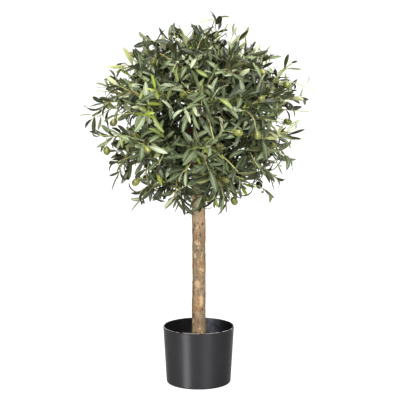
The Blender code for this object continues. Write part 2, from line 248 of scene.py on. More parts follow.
class Table:
    """Arrays of the same length, one entry for each thing. Its dataclasses name the arrays."""

    def kept(self, mask: Array) -> Self:
        """The entries where the mask is true."""
        return type(self)(*(getattr(self, column.name)[mask] for column in fields(self)))

    @classmethod
    def joined(cls, parts: list[Self]) -> Self:
        """The entries of all the parts, in order."""
        names = [column.name for column in fields(cls)]
        return cls(*(np.concatenate([getattr(part, name) for part in parts]) for name in names))


def ball(make: Callable[..., object], **fineness: int) -> tuple[Array, list[list[int]]]:
    """Corners and faces of a ball of radius 1, by one of bmesh's ways to make one."""
    mesh = bmesh.new()
    make(mesh, radius=1.0, **fineness)
    corners = np.array([vertex.co for vertex in mesh.verts])
    faces = [[vertex.index for vertex in face.verts] for face in mesh.faces]
    mesh.free()
    return corners, faces


def band_faces(rows: int, columns: int) -> Array:
    """Quads between the rows of a grid that closes round, its points counted row by row."""
    row, column = np.meshgrid(np.arange(rows - 1), np.arange(columns), indexing="ij")
    low, after = row * columns, (column + 1) % columns
    high = low + columns
    return np.stack([low + column, low + after, high + after, high + column], -1).reshape(-1, 4)


def fan_faces(pole: int, first: int, columns: int, flip: bool) -> Array:
    """Triangles from a pole to a ring of points that starts at an index."""
    column = np.arange(columns)
    ring = first + column
    after = first + (column + 1) % columns
    pair = (after, ring) if flip else (ring, after)
    return np.stack([np.full(columns, pole), *pair], -1)


def closed_faces(rows: int, columns: int) -> list[Array]:
    """Faces of a grid that closes round, and fans to the two poles that follow its points."""
    size = rows * columns
    return [
        band_faces(rows, columns),
        fan_faces(size, 0, columns, flip=True),
        fan_faces(size + 1, size - columns, columns, flip=False),
    ]


def copied(faces: Array, copies: int, points: int) -> Array:
    """The faces of one shape for several copies that have the same number of points each."""
    return (faces + np.arange(copies)[:, None, None] * points).reshape(-1, faces.shape[1])


def add_turned(shell: Shell, profile: Array, columns: int, rise: Array | None = None) -> None:
    """Adds a profile turned round Z, closed by a pole at each end.

    Formula: the point (r cos(a), r sin(a), z + rise) for each profile point and angle.

    Args:
        shell: The shell that gets the surface.
        profile: Radius and height of each row, from the underside's centre outwards and up, and
            back to the axis. The first and the last lie on the axis.
        columns: Number of points round.
        rise: Height added at each point, of shape (rows - 2, columns).
    """
    rings = profile[1:-1]
    angle = np.linspace(0, 2 * math.pi, columns, endpoint=False)
    height = rings[:, 1:] + (np.zeros(columns) if rise is None else rise)
    grid = ringed(rings[:, :1] * np.ones(columns), angle, height)
    end_height = profile[-1, 1] if rise is None else float(height[-1].mean())
    poles = [[0.0, 0.0, profile[0, 1]], [0.0, 0.0, end_height]]
    shell.add(np.vstack([grid.reshape(-1, 3), poles]), closed_faces(len(rings), columns))


def arc(centre: Span, radius: float, start_deg: float, end_deg: float, count: int) -> Array:
    """Points of a profile along an arc, as (radius, height)."""
    angle = np.radians(np.linspace(start_deg, end_deg, count))
    return np.stack([centre[0] + radius * np.cos(angle), centre[1] + radius * np.sin(angle)], -1)


def add_tubes(shell: Shell, paths: Array, radii: Array, sides: int) -> None:
    """Adds round limbs, each a ring of points carried along its path and closed by a pole at each end.

    Formula: path(s) + radius(s) (cos(a) n + sin(a) b), where n and b are at right angles to the path.

    Args:
        shell: The shell that gets the limbs.
        paths: Points of shape (limbs, stations, 3).
        radii: Radii of shape (limbs, stations).
        sides: Number of points round.
    """
    limbs, stations = radii.shape
    tangent = unit(np.gradient(paths, axis=1))
    reference = across(tangent[:, 0])[:, None, :]
    first = unit(reference - tangent * (reference * tangent).sum(-1, keepdims=True))
    second = np.cross(tangent, first)
    angle = np.linspace(0, 2 * math.pi, sides, endpoint=False)[:, None]
    around = first[:, :, None] * np.cos(angle) + second[:, :, None] * np.sin(angle)
    rings = paths[:, :, None] + radii[:, :, None, None] * around
    points = np.concatenate([rings.reshape(limbs, -1, 3), paths[:, :1], paths[:, -1:]], 1)
    faces = [copied(group, limbs, points.shape[1]) for group in closed_faces(stations, sides)]
    shell.add(points.reshape(-1, 3), faces)


# ---- finishes


def linear(colour: Colour) -> tuple[float, float, float, float]:
    """A display colour in 0 to 255 as linear light, with full alpha."""
    share = np.array(colour) / 255.0
    light = np.where(share <= 0.04045, share / 12.92, ((share + 0.055) / 1.055) ** 2.4)
    return (*light.tolist(), 1.0)


def shade(value: object) -> object:
    """A socket as it is, or a display colour as linear light."""
    return linear(value) if isinstance(value, tuple) else value


class Recipe:
    """A material under construction, with short calls for the nodes that the finishes need."""

    def __init__(self, name: str, roughness: float, specular: float = 0.5) -> None:
        """Starts a material.

        Args:
            name: Name of the material.
            roughness: Roughness of the whole surface, unless a pattern drives it.
            specular: Specular level of the whole surface.
        """
        self.material = bpy.data.materials.new(name)
        self.material.use_nodes = True
        self.tree = self.material.node_tree
        self.shader = self.tree.nodes["Principled BSDF"]
        self.shader.inputs["Roughness"].default_value = roughness
        self.shader.inputs["Specular IOR Level"].default_value = specular
        self.place = self.tree.nodes.new("ShaderNodeTexCoord").outputs["Object"]

    def put(self, socket: Socket, value: object) -> None:
        """Links a socket to another, or sets its value."""
        if isinstance(value, Socket):
            self.tree.links.new(value, socket)
        else:
            socket.default_value = value

    def node(self, kind: str, inputs: dict[str | int, object], **settings: object) -> bpy.types.Node:
        """Adds a node with its settings, and links or sets its inputs."""
        node = self.tree.nodes.new(f"ShaderNode{kind}")
        for name, value in settings.items():
            setattr(node, name, value)
        for name, value in inputs.items():
            self.put(node.inputs[name], value)
        return node

    def noise(
        self, scale: float, detail: float = 4.0, stretch: Colour = (1.0, 1.0, 1.0), rough: float = 0.55
    ) -> Socket:
        """A noise pattern on Object coordinates, finer along an axis where its stretch is larger."""
        place = self.node("Mapping", {"Vector": self.place, "Scale": stretch}).outputs["Vector"]
        inputs = {"Vector": place, "Scale": scale, "Detail": detail, "Roughness": rough}
        return self.node("TexNoise", inputs).outputs["Fac"]

    def cells(self, scale: float) -> Socket:
        """Distance to the nearest of scattered points, on Object coordinates."""
        return self.node("TexVoronoi", {"Vector": self.place, "Scale": scale}).outputs["Distance"]

    def attribute(self, name: str) -> Socket:
        """A number stored on the mesh."""
        return self.node("Attribute", {}, attribute_name=name).outputs["Fac"]

    def height(self) -> Socket:
        """Height above the floor, in metres."""
        return self.node("SeparateXYZ", {"Vector": self.place}).outputs["Z"]

    def ramp(self, factor: Socket, stops: list[tuple[float, Colour]]) -> Socket:
        """Display colours laid along a factor."""
        node = self.node("ValToRGB", {"Fac": factor})
        while len(node.color_ramp.elements) < len(stops):
            node.color_ramp.elements.new(0.5)
        for element, (position, colour) in zip(node.color_ramp.elements, stops):
            element.position = position
            element.color = linear(colour)
        return node.outputs["Color"]

    def span(self, value: Socket, low: float, high: float) -> Socket:
        """A value taken from the span low to high onto 0 to 1, eased at both ends."""
        inputs = {"Value": value, "From Min": low, "From Max": high}
        return self.node("MapRange", inputs, interpolation_type="SMOOTHSTEP").outputs["Result"]

    def math(self, operation: str, first: object, second: object = 0.0) -> Socket:
        """One step of arithmetic."""
        return self.node("Math", {0: first, 1: second}, operation=operation).outputs["Value"]

    def mix(self, factor: object, first: object, second: object) -> Socket:
        """A blend of two colours, given as sockets or display colours."""
        inputs = {"Factor": factor, "A": shade(first), "B": shade(second)}
        return self.node("Mix", inputs, data_type="RGBA").outputs["Result"]

    def laid(self, base: object, pattern: object, colour: Colour, weight: object) -> Socket:
        """A colour laid over a base where a pattern is strong, at most by a weight."""
        return self.mix(self.math("MULTIPLY", pattern, weight), base, colour)

    def bump(self, height: Socket, distance: float, strength: float = 1.0) -> None:
        """Raises the surface by a height pattern, over a distance in metres."""
        node = self.node("Bump", {"Strength": strength, "Distance": distance, "Height": height})
        self.put(self.shader.inputs["Normal"], node.outputs["Normal"])

    def colour(self, value: object) -> None:
        """Sets the base colour from a socket or a display colour."""
        self.put(self.shader.inputs["Base Color"], shade(value))


def shown_plain(tree: bpy.types.NodeTree, lit: bpy.types.Node, shown: bpy.types.Node) -> None:
    """Shows one shader where a surface is seen, while another gives the light that it sends on.

    Args:
        tree: The node tree of a material or a world.
        lit: Node of the shader that lights other things.
        shown: Node of the shader that is seen.
    """
    path, choice = tree.nodes.new("ShaderNodeLightPath"), tree.nodes.new("ShaderNodeMixShader")
    outputs = ("ShaderNodeOutputMaterial", "ShaderNodeOutputWorld")
    output = next(node for node in tree.nodes if node.bl_idname in outputs)
    tree.links.new(path.outputs["Is Camera Ray"], choice.inputs["Fac"])
    tree.links.new(lit.outputs[0], choice.inputs[1])
    tree.links.new(shown.outputs[0], choice.inputs[2])
    tree.links.new(choice.outputs[0], output.inputs["Surface"])


@dataclass(frozen=True)
class FloorPaper:
    """Paper that looks plain white and throws a soft light back up."""

    colour: Colour = (178, 178, 178)

    def material(self) -> Material:
        """The material."""
        recipe = Recipe("floor_paper", 0.9, 0.1)
        recipe.colour(self.colour)
        white = recipe.tree.nodes.new("ShaderNodeEmission")
        white.inputs["Color"].default_value = WHITE
        shown_plain(recipe.tree, recipe.shader, white)
        return recipe.material


@dataclass(frozen=True)
class PlainFinish:
    """One even colour, for leaves and twigs, which are too fine to show a pattern."""

    name: str
    colour: Colour
    roughness: float
    specular: float

    def material(self) -> Material:
        """The material."""
        recipe = Recipe(self.name, self.roughness, self.specular)
        recipe.colour(self.colour)
        return recipe.material


@dataclass(frozen=True)
class StemBark:
    """Pale natural bark with flakes, dark cracks and rusty scars on its relief, and painted light under the
    crown.

    Attributes:
        paling: Heights where painted light lifts the crown's shadow, up to the share most_pale.
    """

    light: Colour = (152, 130, 101)
    middle: Colour = (118, 97, 73)
    dark: Colour = (72, 57, 42)
    grey: Colour = (98, 90, 76)
    flake: Colour = (160, 137, 106)
    palest: Colour = (176, 154, 124)
    crack: Colour = (46, 34, 26)
    rust: Colour = (122, 68, 38)
    roughness: float = 0.86
    paling: Span = (0.355, 0.425)
    most_pale: float = 0.62

    def material(self) -> Material:
        """The material, which reads the attributes flake, crack and rust."""
        recipe = Recipe("stem_bark", self.roughness, 0.25)
        fibre = recipe.noise(60.0, 8.0, (1.0, 1.0, 0.40), 0.66)
        stops = [(0.30, self.dark), (0.45, self.middle), (0.57, self.middle), (0.72, self.light)]
        patch = recipe.span(recipe.noise(26.0, 4.0, (1.0, 1.0, 0.55)), 0.42, 0.56)
        base = recipe.laid(recipe.ramp(fibre, stops), patch, self.grey, 0.70)
        # Painted light: the bark is lightened just under the crown, where the crown's shadow falls on it.
        base = recipe.laid(base, recipe.span(recipe.height(), *self.paling), self.palest, self.most_pale)
        blot = recipe.noise(150.0, 4.0, (1.0, 1.0, 0.6), 0.7)
        speck = recipe.noise(360.0, 3.0, (1.0, 1.0, 0.7), 0.7)
        for pattern, low, high, colour, weight in (
            (blot, 0.53, 0.66, self.light, 0.55),
            (blot, 0.46, 0.34, self.dark, 0.60),
            (speck, 0.53, 0.68, self.light, 0.50),
            (speck, 0.47, 0.34, self.dark, 0.60),
        ):
            base = recipe.laid(base, recipe.span(pattern, low, high), colour, weight)
        for kind, low, high, colour, weight in (
            ("flake", 0.55, 1.05, self.flake, 0.72),
            ("rust", 0.50, 0.95, self.rust, 0.75),
            ("crack", 0.50, 0.90, self.crack, 0.85),
        ):
            strength = recipe.math("ADD", recipe.attribute(kind), recipe.math("MULTIPLY", blot, 0.5))
            base = recipe.laid(base, recipe.span(strength, low, high), colour, weight)
        recipe.colour(base)
        recipe.bump(recipe.math("ADD", speck, recipe.math("MULTIPLY", blot, 1.5)), 0.0011, 0.8)
        return recipe.material


@dataclass(frozen=True)
class BoughBark:
    """Smooth reddish-brown bark of the limbs inside the crown."""

    light: Colour = (142, 102, 72)
    dark: Colour = (84, 54, 38)
    roughness: float = 0.78

    def material(self) -> Material:
        """The material."""
        recipe = Recipe("bough_bark", self.roughness, 0.3)
        grain = recipe.noise(120.0, 5.0)
        recipe.colour(recipe.ramp(grain, [(0.35, self.dark), (0.65, self.light)]))
        recipe.bump(grain, 0.0006, 0.6)
        return recipe.material


@dataclass(frozen=True)
class PotPlastic:
    """Charcoal moulded plastic, satin and slightly uneven: faint scuffs, a painted sheen inside and a
    painted rim highlight.
    """

    colour: Colour = (25, 25, 26)
    clouded: Colour = (28, 27, 29)
    scuffed: Colour = (34, 34, 35)
    dusty: Colour = (82, 84, 89)
    rubbed: Colour = (144, 142, 135)
    roughness: float = 0.32

    def material(self) -> Material:
        """The material, which reads the attributes dust and rubbed."""
        recipe = Recipe("pot_plastic", self.roughness, 0.05)
        cloud = recipe.noise(16.0, 4.0, (1.0, 1.0, 0.5))
        scuff = recipe.span(recipe.noise(150.0, 5.0, (1.0, 1.0, 0.12), 0.6), 0.60, 0.72)
        painted_sheen_break = recipe.span(recipe.noise(26.0, 3.0), 0.20, 0.66)
        painted_highlight_break = recipe.span(recipe.noise(70.0, 3.0), 0.38, 0.58)
        base = recipe.ramp(cloud, [(0.35, self.colour), (0.7, self.clouded)])
        base = recipe.laid(base, scuff, self.scuffed, 0.35)
        # Painted sheen: a pale bluish patch on the inner wall, where light is reflected, broken up by noise.
        base = recipe.laid(base, recipe.attribute("dust"), self.dusty, painted_sheen_break)
        # Painted highlight: a pale line along the rim's top, where the light catches it, broken up by noise.
        recipe.colour(recipe.laid(base, recipe.attribute("rubbed"), self.rubbed, painted_highlight_break))
        rough = recipe.math("ADD", recipe.math("MULTIPLY", cloud, 0.12), self.roughness - 0.06)
        recipe.put(recipe.shader.inputs["Roughness"], rough)
        orange_peel = recipe.math("MULTIPLY", recipe.noise(420.0, 2.0), 0.12)
        recipe.bump(recipe.math("ADD", orange_peel, cloud), 0.0008, 0.22)
        return recipe.material


@dataclass(frozen=True)
class CastCement:
    """Dark cast cement, gritty and uneven, with pale grains."""

    light: Colour = (88, 85, 82)
    dark: Colour = (40, 38, 37)
    pale: Colour = (126, 120, 112)
    roughness: float = 0.92

    def material(self) -> Material:
        """The material."""
        recipe = Recipe("filling_cement", self.roughness, 0.2)
        cloud = recipe.noise(38.0, 6.0)
        grain = recipe.noise(520.0, 3.0, rough=0.7)
        base = recipe.ramp(cloud, [(0.35, self.dark), (0.70, self.light)])
        recipe.colour(recipe.mix(recipe.span(grain, 0.62, 0.72), base, self.pale))
        recipe.bump(recipe.math("ADD", grain, cloud), 0.0015, 0.8)
        return recipe.material


@dataclass(frozen=True)
class Grit:
    """Small pale stones cast into the cement."""

    light: Colour = (158, 150, 136)
    dark: Colour = (84, 78, 70)
    roughness: float = 0.85

    def material(self) -> Material:
        """The material."""
        recipe = Recipe("grit_stone", self.roughness, 0.3)
        recipe.colour(recipe.ramp(recipe.noise(75.0, 2.0), [(0.38, self.dark), (0.62, self.light)]))
        recipe.bump(recipe.noise(700.0, 3.0), 0.0004, 0.5)
        return recipe.material


@dataclass(frozen=True)
class OliveSkin:
    """Glossy olive skin, mottled and speckled.

    Attributes:
        coat: Weight and roughness of the thin glossy coat.
    """

    name: str
    skin: Colour
    blush: Colour
    speckle: Colour
    roughness: float = 0.24
    coat: Span = (0.25, 0.12)

    def material(self) -> Material:
        """The material."""
        recipe = Recipe(self.name, self.roughness, 0.40)
        cloud = recipe.span(recipe.noise(70.0, 3.0), 0.42, 0.62)
        dots = recipe.span(recipe.cells(900.0), 0.30, 0.18)
        recipe.colour(recipe.laid(recipe.mix(cloud, self.skin, self.blush), dots, self.speckle, 0.5))
        for socket, value in zip(("Coat Weight", "Coat Roughness"), self.coat):
            recipe.shader.inputs[socket].default_value = value
        recipe.bump(recipe.noise(260.0, 2.0), 0.0004, 0.25)
        return recipe.material


@dataclass(frozen=True)
class LeafTone:
    """Colours of one kind of leaf: its upper face, its midrib and its underside.

    Attributes:
        share: How large a part of the sprays wears this tone.
    """

    share: float
    upper: Colour
    rib: Colour
    under: Colour

    def materials(self, name: str) -> list[Material]:
        """Materials of the waxy upper face, the midrib and the matt underside."""
        finishes = (
            PlainFinish(f"leaf_{name}_upper", self.upper, 0.40, 0.26),
            PlainFinish(f"leaf_{name}_rib", self.rib, 0.50, 0.25),
            PlainFinish(f"leaf_{name}_under", self.under, 0.66, 0.16),
        )
        return [finish.material() for finish in finishes]


class Tone(Enum):
    """The tones of leaf, dealt out by spray. Lime is the colour of young leaves at a spray's tip."""

    DEEP = LeafTone(0.17, (38, 44, 29), (88, 95, 68), (60, 63, 42))
    DARK = LeafTone(0.26, (65, 74, 50), (116, 123, 92), (96, 99, 71))
    MIDDLE = LeafTone(0.28, (92, 102, 74), (150, 157, 126), (140, 142, 114))
    GREY = LeafTone(0.17, (126, 134, 110), (180, 185, 160), (152, 156, 124))
    OLIVE = LeafTone(0.12, (98, 107, 60), (152, 157, 106), (142, 146, 102))
    LIME = LeafTone(0.0, (94, 108, 36), (140, 148, 70), (134, 142, 70))

    @property
    def label(self) -> str:
        """The tone's name in lower case."""
        return self.name.lower()


# ---- pot and filling


@dataclass
class Pot:
    """The round pot: a slightly conical shell with a small lip, its rounded foot and its flat underside.

    Attributes:
        wall_top_r: Outer radius that the wall would have at the rim without its flare.
    """

    height: float = 0.1405
    rim_r: float = 0.0870
    wall_top_r: float = 0.0864
    base_r: float = 0.0786
    wall: float = 0.0026
    floor: float = 0.0040
    flare_height: float = 0.0120
    flare_power: float = 1.6
    corner_r: float = 0.0050
    row_gap: float = 0.0040
    underside_rings: tuple[float, ...] = (0.03, 0.06)
    # The painted sheen on the inner wall: where it faces, how wide it is and how high it starts.
    dust_azimuth_deg: float = 72.0
    dust_wide_deg: float = 20.0
    dust_foot: float = 0.0100
    # The painted highlight along the rim's top: how far down it reaches and how it fades.
    rubbed_below: float = 0.0006
    rubbed_fade: float = 0.0005
    columns: int = 160

    def inner_radius(self, height: float) -> float:
        """Radius of the inner wall at a height."""
        return self.base_r + (self.wall_top_r - self.base_r) * height / self.height - self.wall

    def profile(self) -> Array:
        """The wall's outline from the underside's centre, up the outside and down the inside."""
        lip_r = (self.rim_r - self.wall_top_r + self.wall) / 2
        foot = arc((self.base_r - self.corner_r, self.corner_r), self.corner_r, -90, 0, 8)
        heights = np.linspace(self.corner_r + self.row_gap, self.height - self.flare_height, 14)
        share = (heights - self.corner_r) / (self.height - self.corner_r)
        wall = np.stack([self.base_r + (self.wall_top_r - self.base_r) * share, heights], -1)
        (last_r, last), flare = wall[-1], np.linspace(0, 1, 6)[1:-1]
        flare_r = last_r + (self.rim_r - last_r) * flare**self.flare_power
        under_lip = np.stack([flare_r, last + (self.flare_height - lip_r) * flare], -1)
        lip = arc((self.rim_r - lip_r, self.height - lip_r), lip_r, 0, 180, 11)
        first, last = self.height - 1.5 * self.row_gap, self.floor + self.corner_r + self.row_gap
        inner = np.array([[self.inner_radius(height), height] for height in np.linspace(first, last, 12)])
        bottom_centre = (self.inner_radius(self.floor) - self.corner_r, self.floor + self.corner_r)
        bottom = arc(bottom_centre, self.corner_r, 0, -90, 6)
        start = [[radius, 0.0] for radius in (0.0, *self.underside_rings)]
        return np.vstack([start, foot, wall, under_lip, lip, inner, bottom, [[0.0, self.floor]]])

    def marks(self, points: Array) -> dict[str, Array]:
        """How strongly each point wears the painted sheen on part of the inner wall, and the painted rim
        highlight.

        Formula: the painted sheen is exp(-t^2) of the turn from its middle, on the inner wall; the
        painted highlight grows with height over the rim's last half millimetre.
        """
        radius, height = np.hypot(points[:, 0], points[:, 1]), points[:, 2]
        turn = turn_from(np.arctan2(points[:, 1], points[:, 0]), self.dust_azimuth_deg)
        inside = (radius < self.inner_radius(height) + SKIN) & (height > self.floor + self.dust_foot)
        dust = np.exp(-((turn / math.radians(self.dust_wide_deg)) ** 2)) * inside
        rubbed = np.clip((height - self.height + self.rubbed_below) / self.rubbed_fade, 0, 1)
        return {"dust": dust, "rubbed": rubbed}

    def build(self) -> list[Piece]:
        """Makes the pot in place of its solid."""
        shell = Shell()
        add_turned(shell, self.profile(), self.columns)
        pot = shell.build("pot_shell", [PotPlastic().material()], 50.0, "pot", ["pot"])
        for kind, values in self.marks(shell.points[0]).items():
            store(pot, kind, values)
        return [pot]


@dataclass
class Filling:
    """The cast cement in the pot, uneven on top, with small stones round the stem.

    Attributes:
        lumps: Cells round and along, and share of the height, of each layer of lumps.
        stone_ring: Radius of the innermost stone, and how much less wide than the pot their ring is.
    """

    pot: Pot
    top: float = 0.1070
    edge_drop: float = 0.0015
    flat_r: float = 0.0200
    seat_fade: float = 0.0080
    rings: int = 46
    columns: int = 150
    roughness: float = 0.0011
    lumps: Layers = (((14, 7), 1.0), ((40, 18), 0.6), ((110, 40), 0.4))
    stones: int = 120
    stone_r: Span = (0.0012, 0.0032)
    stone_crowding: float = 1.7
    stone_ring: Span = (0.0215, 0.0275)
    stone_shape: Span = (0.70, 1.15)
    stone_flatness: float = 0.7
    stone_lumps: float = 0.13

    def surface(self, random: Random) -> Shell:
        """The cement's body: flat on top, less a drop to the wall, plus noise outside the stem's seat."""
        edge_r = self.pot.inner_radius(self.top) - SKIN
        foot = self.pot.floor + CLEAR
        chamfer = foot + self.pot.corner_r
        radii = np.linspace(edge_r, 0.002, self.rings)
        side = [
            [0.0, foot],
            [self.pot.inner_radius(foot) - self.pot.corner_r - CLEAR, foot],
            [self.pot.inner_radius(chamfer) - CLEAR * 2, chamfer],
        ]
        upper = np.stack([radii, self.top - self.edge_drop * (radii / edge_r) ** 2], -1)
        turn = np.linspace(0, 1, self.columns, endpoint=False)[None, :] + np.zeros((self.rings, 1))
        share = (radii / edge_r)[:, None] + np.zeros((1, self.columns))
        lumps = layered_noise(turn, share, self.lumps, random)
        fade = np.clip((radii - self.flat_r) / self.seat_fade, 0, 1)[:, None]
        rise = np.vstack([np.zeros((2, self.columns)), self.roughness * lumps * fade])
        shell = Shell()
        add_turned(shell, np.vstack([side, upper, [[0.0, self.top]]]), self.columns, rise)
        return shell

    def pebbles(self, random: Random) -> Shell:
        """Small stones half sunk in the top, each a lumpy ball of a few faces, thickest round the stem."""
        points, faces = ball(bmesh.ops.create_icosphere, subdivisions=2)
        wall_r, (first_r, margin) = self.pot.inner_radius(self.top), self.stone_ring
        radius = first_r + random.uniform(0, 1, self.stones) ** self.stone_crowding * (wall_r - margin)
        angle = random.uniform(0, 2 * math.pi, self.stones)
        size = random.uniform(*self.stone_r, self.stones)
        stretch = random.uniform(*self.stone_shape, (self.stones, 3)) * [1.0, 1.0, self.stone_flatness]
        lump = 1 + random.uniform(-self.stone_lumps, self.stone_lumps, (self.stones, len(points), 1))
        height = self.top - self.edge_drop * (radius / wall_r) ** 2 + 0.1 * size
        scale = size[:, None] * stretch
        placed = ringed(radius, angle, height)[:, None] + scale[:, None] * lump * points
        shell = Shell()
        shell.add(placed, [copied(np.array(faces), self.stones, len(points))])
        return shell

    def build(self) -> list[Piece]:
        """Makes the cement and its stones in place of the filling's solid."""
        random = np.random.default_rng([SEED, 901])
        parts = (
            ("filling_cement", self.surface(random), CastCement(), 60.0),
            ("filling_stones", self.pebbles(random), Grit(), 80.0),
        )
        return [
            shell.build(name, [finish.material()], sharp_deg, "filling", ["pot_filling"])
            for name, shell, finish, sharp_deg in parts
        ]


# ---- stem


@dataclass(frozen=True)
class Mark:
    """A spot on the stem's bark.

    Attributes:
        kind: The attribute that it feeds: flake, crack or rust.
        azimuth_deg: Direction round the stem, with -90 at the front.
        raised: How far it stands out of the bark, or in where negative.
    """

    kind: str
    azimuth_deg: float
    height: float
    wide: float
    tall: float
    raised: float


@dataclass
class Stem:
    """The straight stem with its bark in relief, from its flat cut on the filling to its top.

    Attributes:
        seams: Half-width of a seam in plate height, its depth and its share of a crack's strength.
        shed: Plate height above which a plate has flaked off, and how fast that comes in.
        bending: Cells and strength of the noise that bends the marks' outlines, and how strongly
            the fibres bend them too.
    """

    foot: float = 0.1073
    top: float = 0.7150
    stations: tuple[Span, ...] = (
        (0.000, 0.0178), (0.040, 0.0171), (0.110, 0.0161), (0.200, 0.0155), (0.260, 0.0158),
        (0.330, 0.0164), (0.450, 0.0152), (0.614, 0.0134),
    )
    sway: float = 0.0012
    swell: float = 0.0003
    columns: int = 144
    rows: int = 380
    swellings: Layers = (((3, 16), 0.00055), ((7, 44), 0.00040), ((22, 70), 0.00026))
    fibres: tuple[Counts, float] = ((60, 190), 0.00016)
    bending: tuple[Counts, float, float] = ((26, 120), 0.42, 0.34)
    plates: Layers = (((11, 34), 1.0), ((26, 90), 0.5))
    seams: tuple[float, float, float] = (0.075, 0.00028, 0.32)
    shed: Span = (0.62, 1.1)
    scars: tuple[Counts, float, float] = ((9, 40), 0.72, 1.2)
    marks: tuple[Mark, ...] = (
        Mark("flake", -104, 0.385, 0.0030, 0.0050, 0.0005),
        Mark("crack", -128, 0.391, 0.0022, 0.0034, -0.0011),
        Mark("crack", -143, 0.380, 0.0020, 0.0045, -0.0010),
        Mark("crack", -82, 0.386, 0.0018, 0.0030, -0.0010),
        Mark("crack", -52, 0.394, 0.0026, 0.0034, -0.0009),
        Mark("crack", -100, 0.397, 0.0030, 0.0016, -0.0008),
        Mark("rust", -113, 0.365, 0.0017, 0.0100, -0.0006),
        Mark("rust", -60, 0.372, 0.0014, 0.0060, -0.0004),
        Mark("flake", -110, 0.348, 0.0058, 0.0062, 0.0006),
        Mark("flake", -97, 0.336, 0.0028, 0.0032, 0.0005),
        Mark("flake", -86, 0.349, 0.0022, 0.0030, 0.0004),
        Mark("flake", -99, 0.301, 0.0026, 0.0026, 0.0004),
        Mark("flake", -70, 0.306, 0.0020, 0.0030, 0.0004),
        Mark("flake", -57, 0.281, 0.0050, 0.0062, 0.0006),
        Mark("flake", -104, 0.247, 0.0078, 0.0085, 0.0004),
        Mark("flake", -68, 0.206, 0.0066, 0.0135, 0.0003),
        Mark("rust", -113, 0.186, 0.0034, 0.0034, -0.0004),
        Mark("rust", -60, 0.186, 0.0024, 0.0034, -0.0005),
        Mark("crack", -56, 0.184, 0.0012, 0.0024, -0.0008),
        Mark("flake", -140, 0.153, 0.0034, 0.0070, 0.0004),
        Mark("rust", -150, 0.290, 0.0015, 0.0110, -0.0004),
        Mark("rust", -152, 0.240, 0.0014, 0.0060, -0.0004),
        Mark("crack", -64, 0.330, 0.0012, 0.0060, -0.0007),
        Mark("crack", -140, 0.222, 0.0012, 0.0050, -0.0007),
    )
    scattered: int = 46
    raised: tuple[tuple[str, float], ...] = (("flake", 0.0004), ("rust", -0.0005), ("crack", -0.0009))

    def radius_at(self, heights: Array) -> Array:
        """The stem's plain radius at heights above the floor."""
        stations = np.array(self.stations)
        return np.interp(heights - self.foot, stations[:, 0], stations[:, 1])

    def is_clear(self, points: Array, margin: float) -> Array:
        """Whether points keep a margin from the stem, beside it or above its top."""
        beside = np.hypot(points[..., 0], points[..., 1]) > self.radius_at(points[..., 2]) + margin
        return beside | (points[..., 2] > self.top + margin)

    def all_marks(self, random: Random) -> list[Mark]:
        """The named marks, and more by rule, mostly round the sides that those leave plain."""
        more, raised = [], dict(self.raised)
        for _ in range(self.scattered):
            kind = ("flake", "flake", "rust", "crack")[int(random.integers(4))]
            azimuth = random.uniform(-20, 200) if random.random() < 0.75 else random.uniform(-180, 180)
            tall = random.uniform(0.003, 0.009)
            wide = tall * random.uniform(0.3, 0.8) if kind == "flake" else random.uniform(0.0012, 0.0026)
            more.append(Mark(kind, azimuth, random.uniform(0.12, 0.66), wide, tall, raised[kind]))
        return [*self.marks, *more]

    def relief(self, angle: Array, height: Array, random: Random) -> dict[str, Array]:
        """Relief of the bark and the strength of each kind of mark.

        Formula: the relief is a sum of smooth noises, from broad swellings to fibres, less the
        seams between the plates, and of the marks, each exp(-d^3) of its elliptical distance d,
        bent by noise.

        Args:
            angle: Angle round the stem at each point.
            height: Height of each point.
            random: Source of the noises.

        Returns:
            Arrays named relief, flake, crack and rust.
        """
        u, v = angle / (2 * math.pi), (height - self.foot) / (self.top - self.foot)
        relief = layered_noise(u, v, self.swellings, random)
        (fine_cells, fine_height), (bend_cells, bend_most, bend_fine) = self.fibres, self.bending
        fine = lattice_noise(u, v, fine_cells, random)
        relief += fine_height * fine
        bend = bend_most * lattice_noise(u, v, bend_cells, random) + bend_fine * fine
        plates = layered_noise(u, v, self.plates, random)
        seam_wide, seam_deep, seam_crack = self.seams
        seams = np.exp(-((plates / seam_wide) ** 2))
        relief -= seam_deep * seams
        (shed_level, shed_rate), (scar_cells, scar_level, scar_rate) = self.shed, self.scars
        found = {
            "flake": np.clip(plates - shed_level, 0, 1) * shed_rate,
            "crack": seam_crack * seams,
            "rust": np.clip(lattice_noise(u, v, scar_cells, random) - scar_level, 0, 1) * scar_rate,
        }
        for mark in self.all_marks(random):
            aside = turn_from(angle, mark.azimuth_deg) * self.radius_at(height) / mark.wide
            along = (height - mark.height) / mark.tall
            strength = np.exp(-((np.hypot(aside, along) * (1 + bend)) ** 3))
            found[mark.kind] = np.maximum(found[mark.kind], strength)
            relief += mark.raised * strength
        return {"relief": relief, **found}

    def build(self) -> list[Piece]:
        """Makes the stem in place of the trunk's solid, with its marks stored on the mesh."""
        random = np.random.default_rng([SEED, 902])
        heights = np.linspace(self.foot, self.top, self.rows)
        angles = np.linspace(-math.pi, math.pi, self.columns, endpoint=False)
        height, angle = np.meshgrid(heights, angles, indexing="ij")
        found = self.relief(angle, height, random)
        rise = (height - self.foot) / (self.top - self.foot)
        sway = self.sway * np.sin(math.pi * rise) * np.sin(2 * math.pi * rise)
        grid = ringed(self.radius_at(height) + self.swell + found.pop("relief"), angle, height)
        grid += np.stack([sway, -0.7 * sway, np.zeros_like(sway)], -1)
        poles = [[0.0, 0.0, self.foot], [0.0, 0.0, self.top]]
        shell = Shell()
        shell.add(np.vstack([grid.reshape(-1, 3), poles]), closed_faces(self.rows, self.columns))
        stem = shell.build("stem_bark", [StemBark().material()], 75.0, "trunk_bark", ["trunk"])
        for kind, values in found.items():
            store(stem, kind, np.append(values.ravel(), [0.0] * len(poles)))
        return [stem]


# ---- the crown's growth


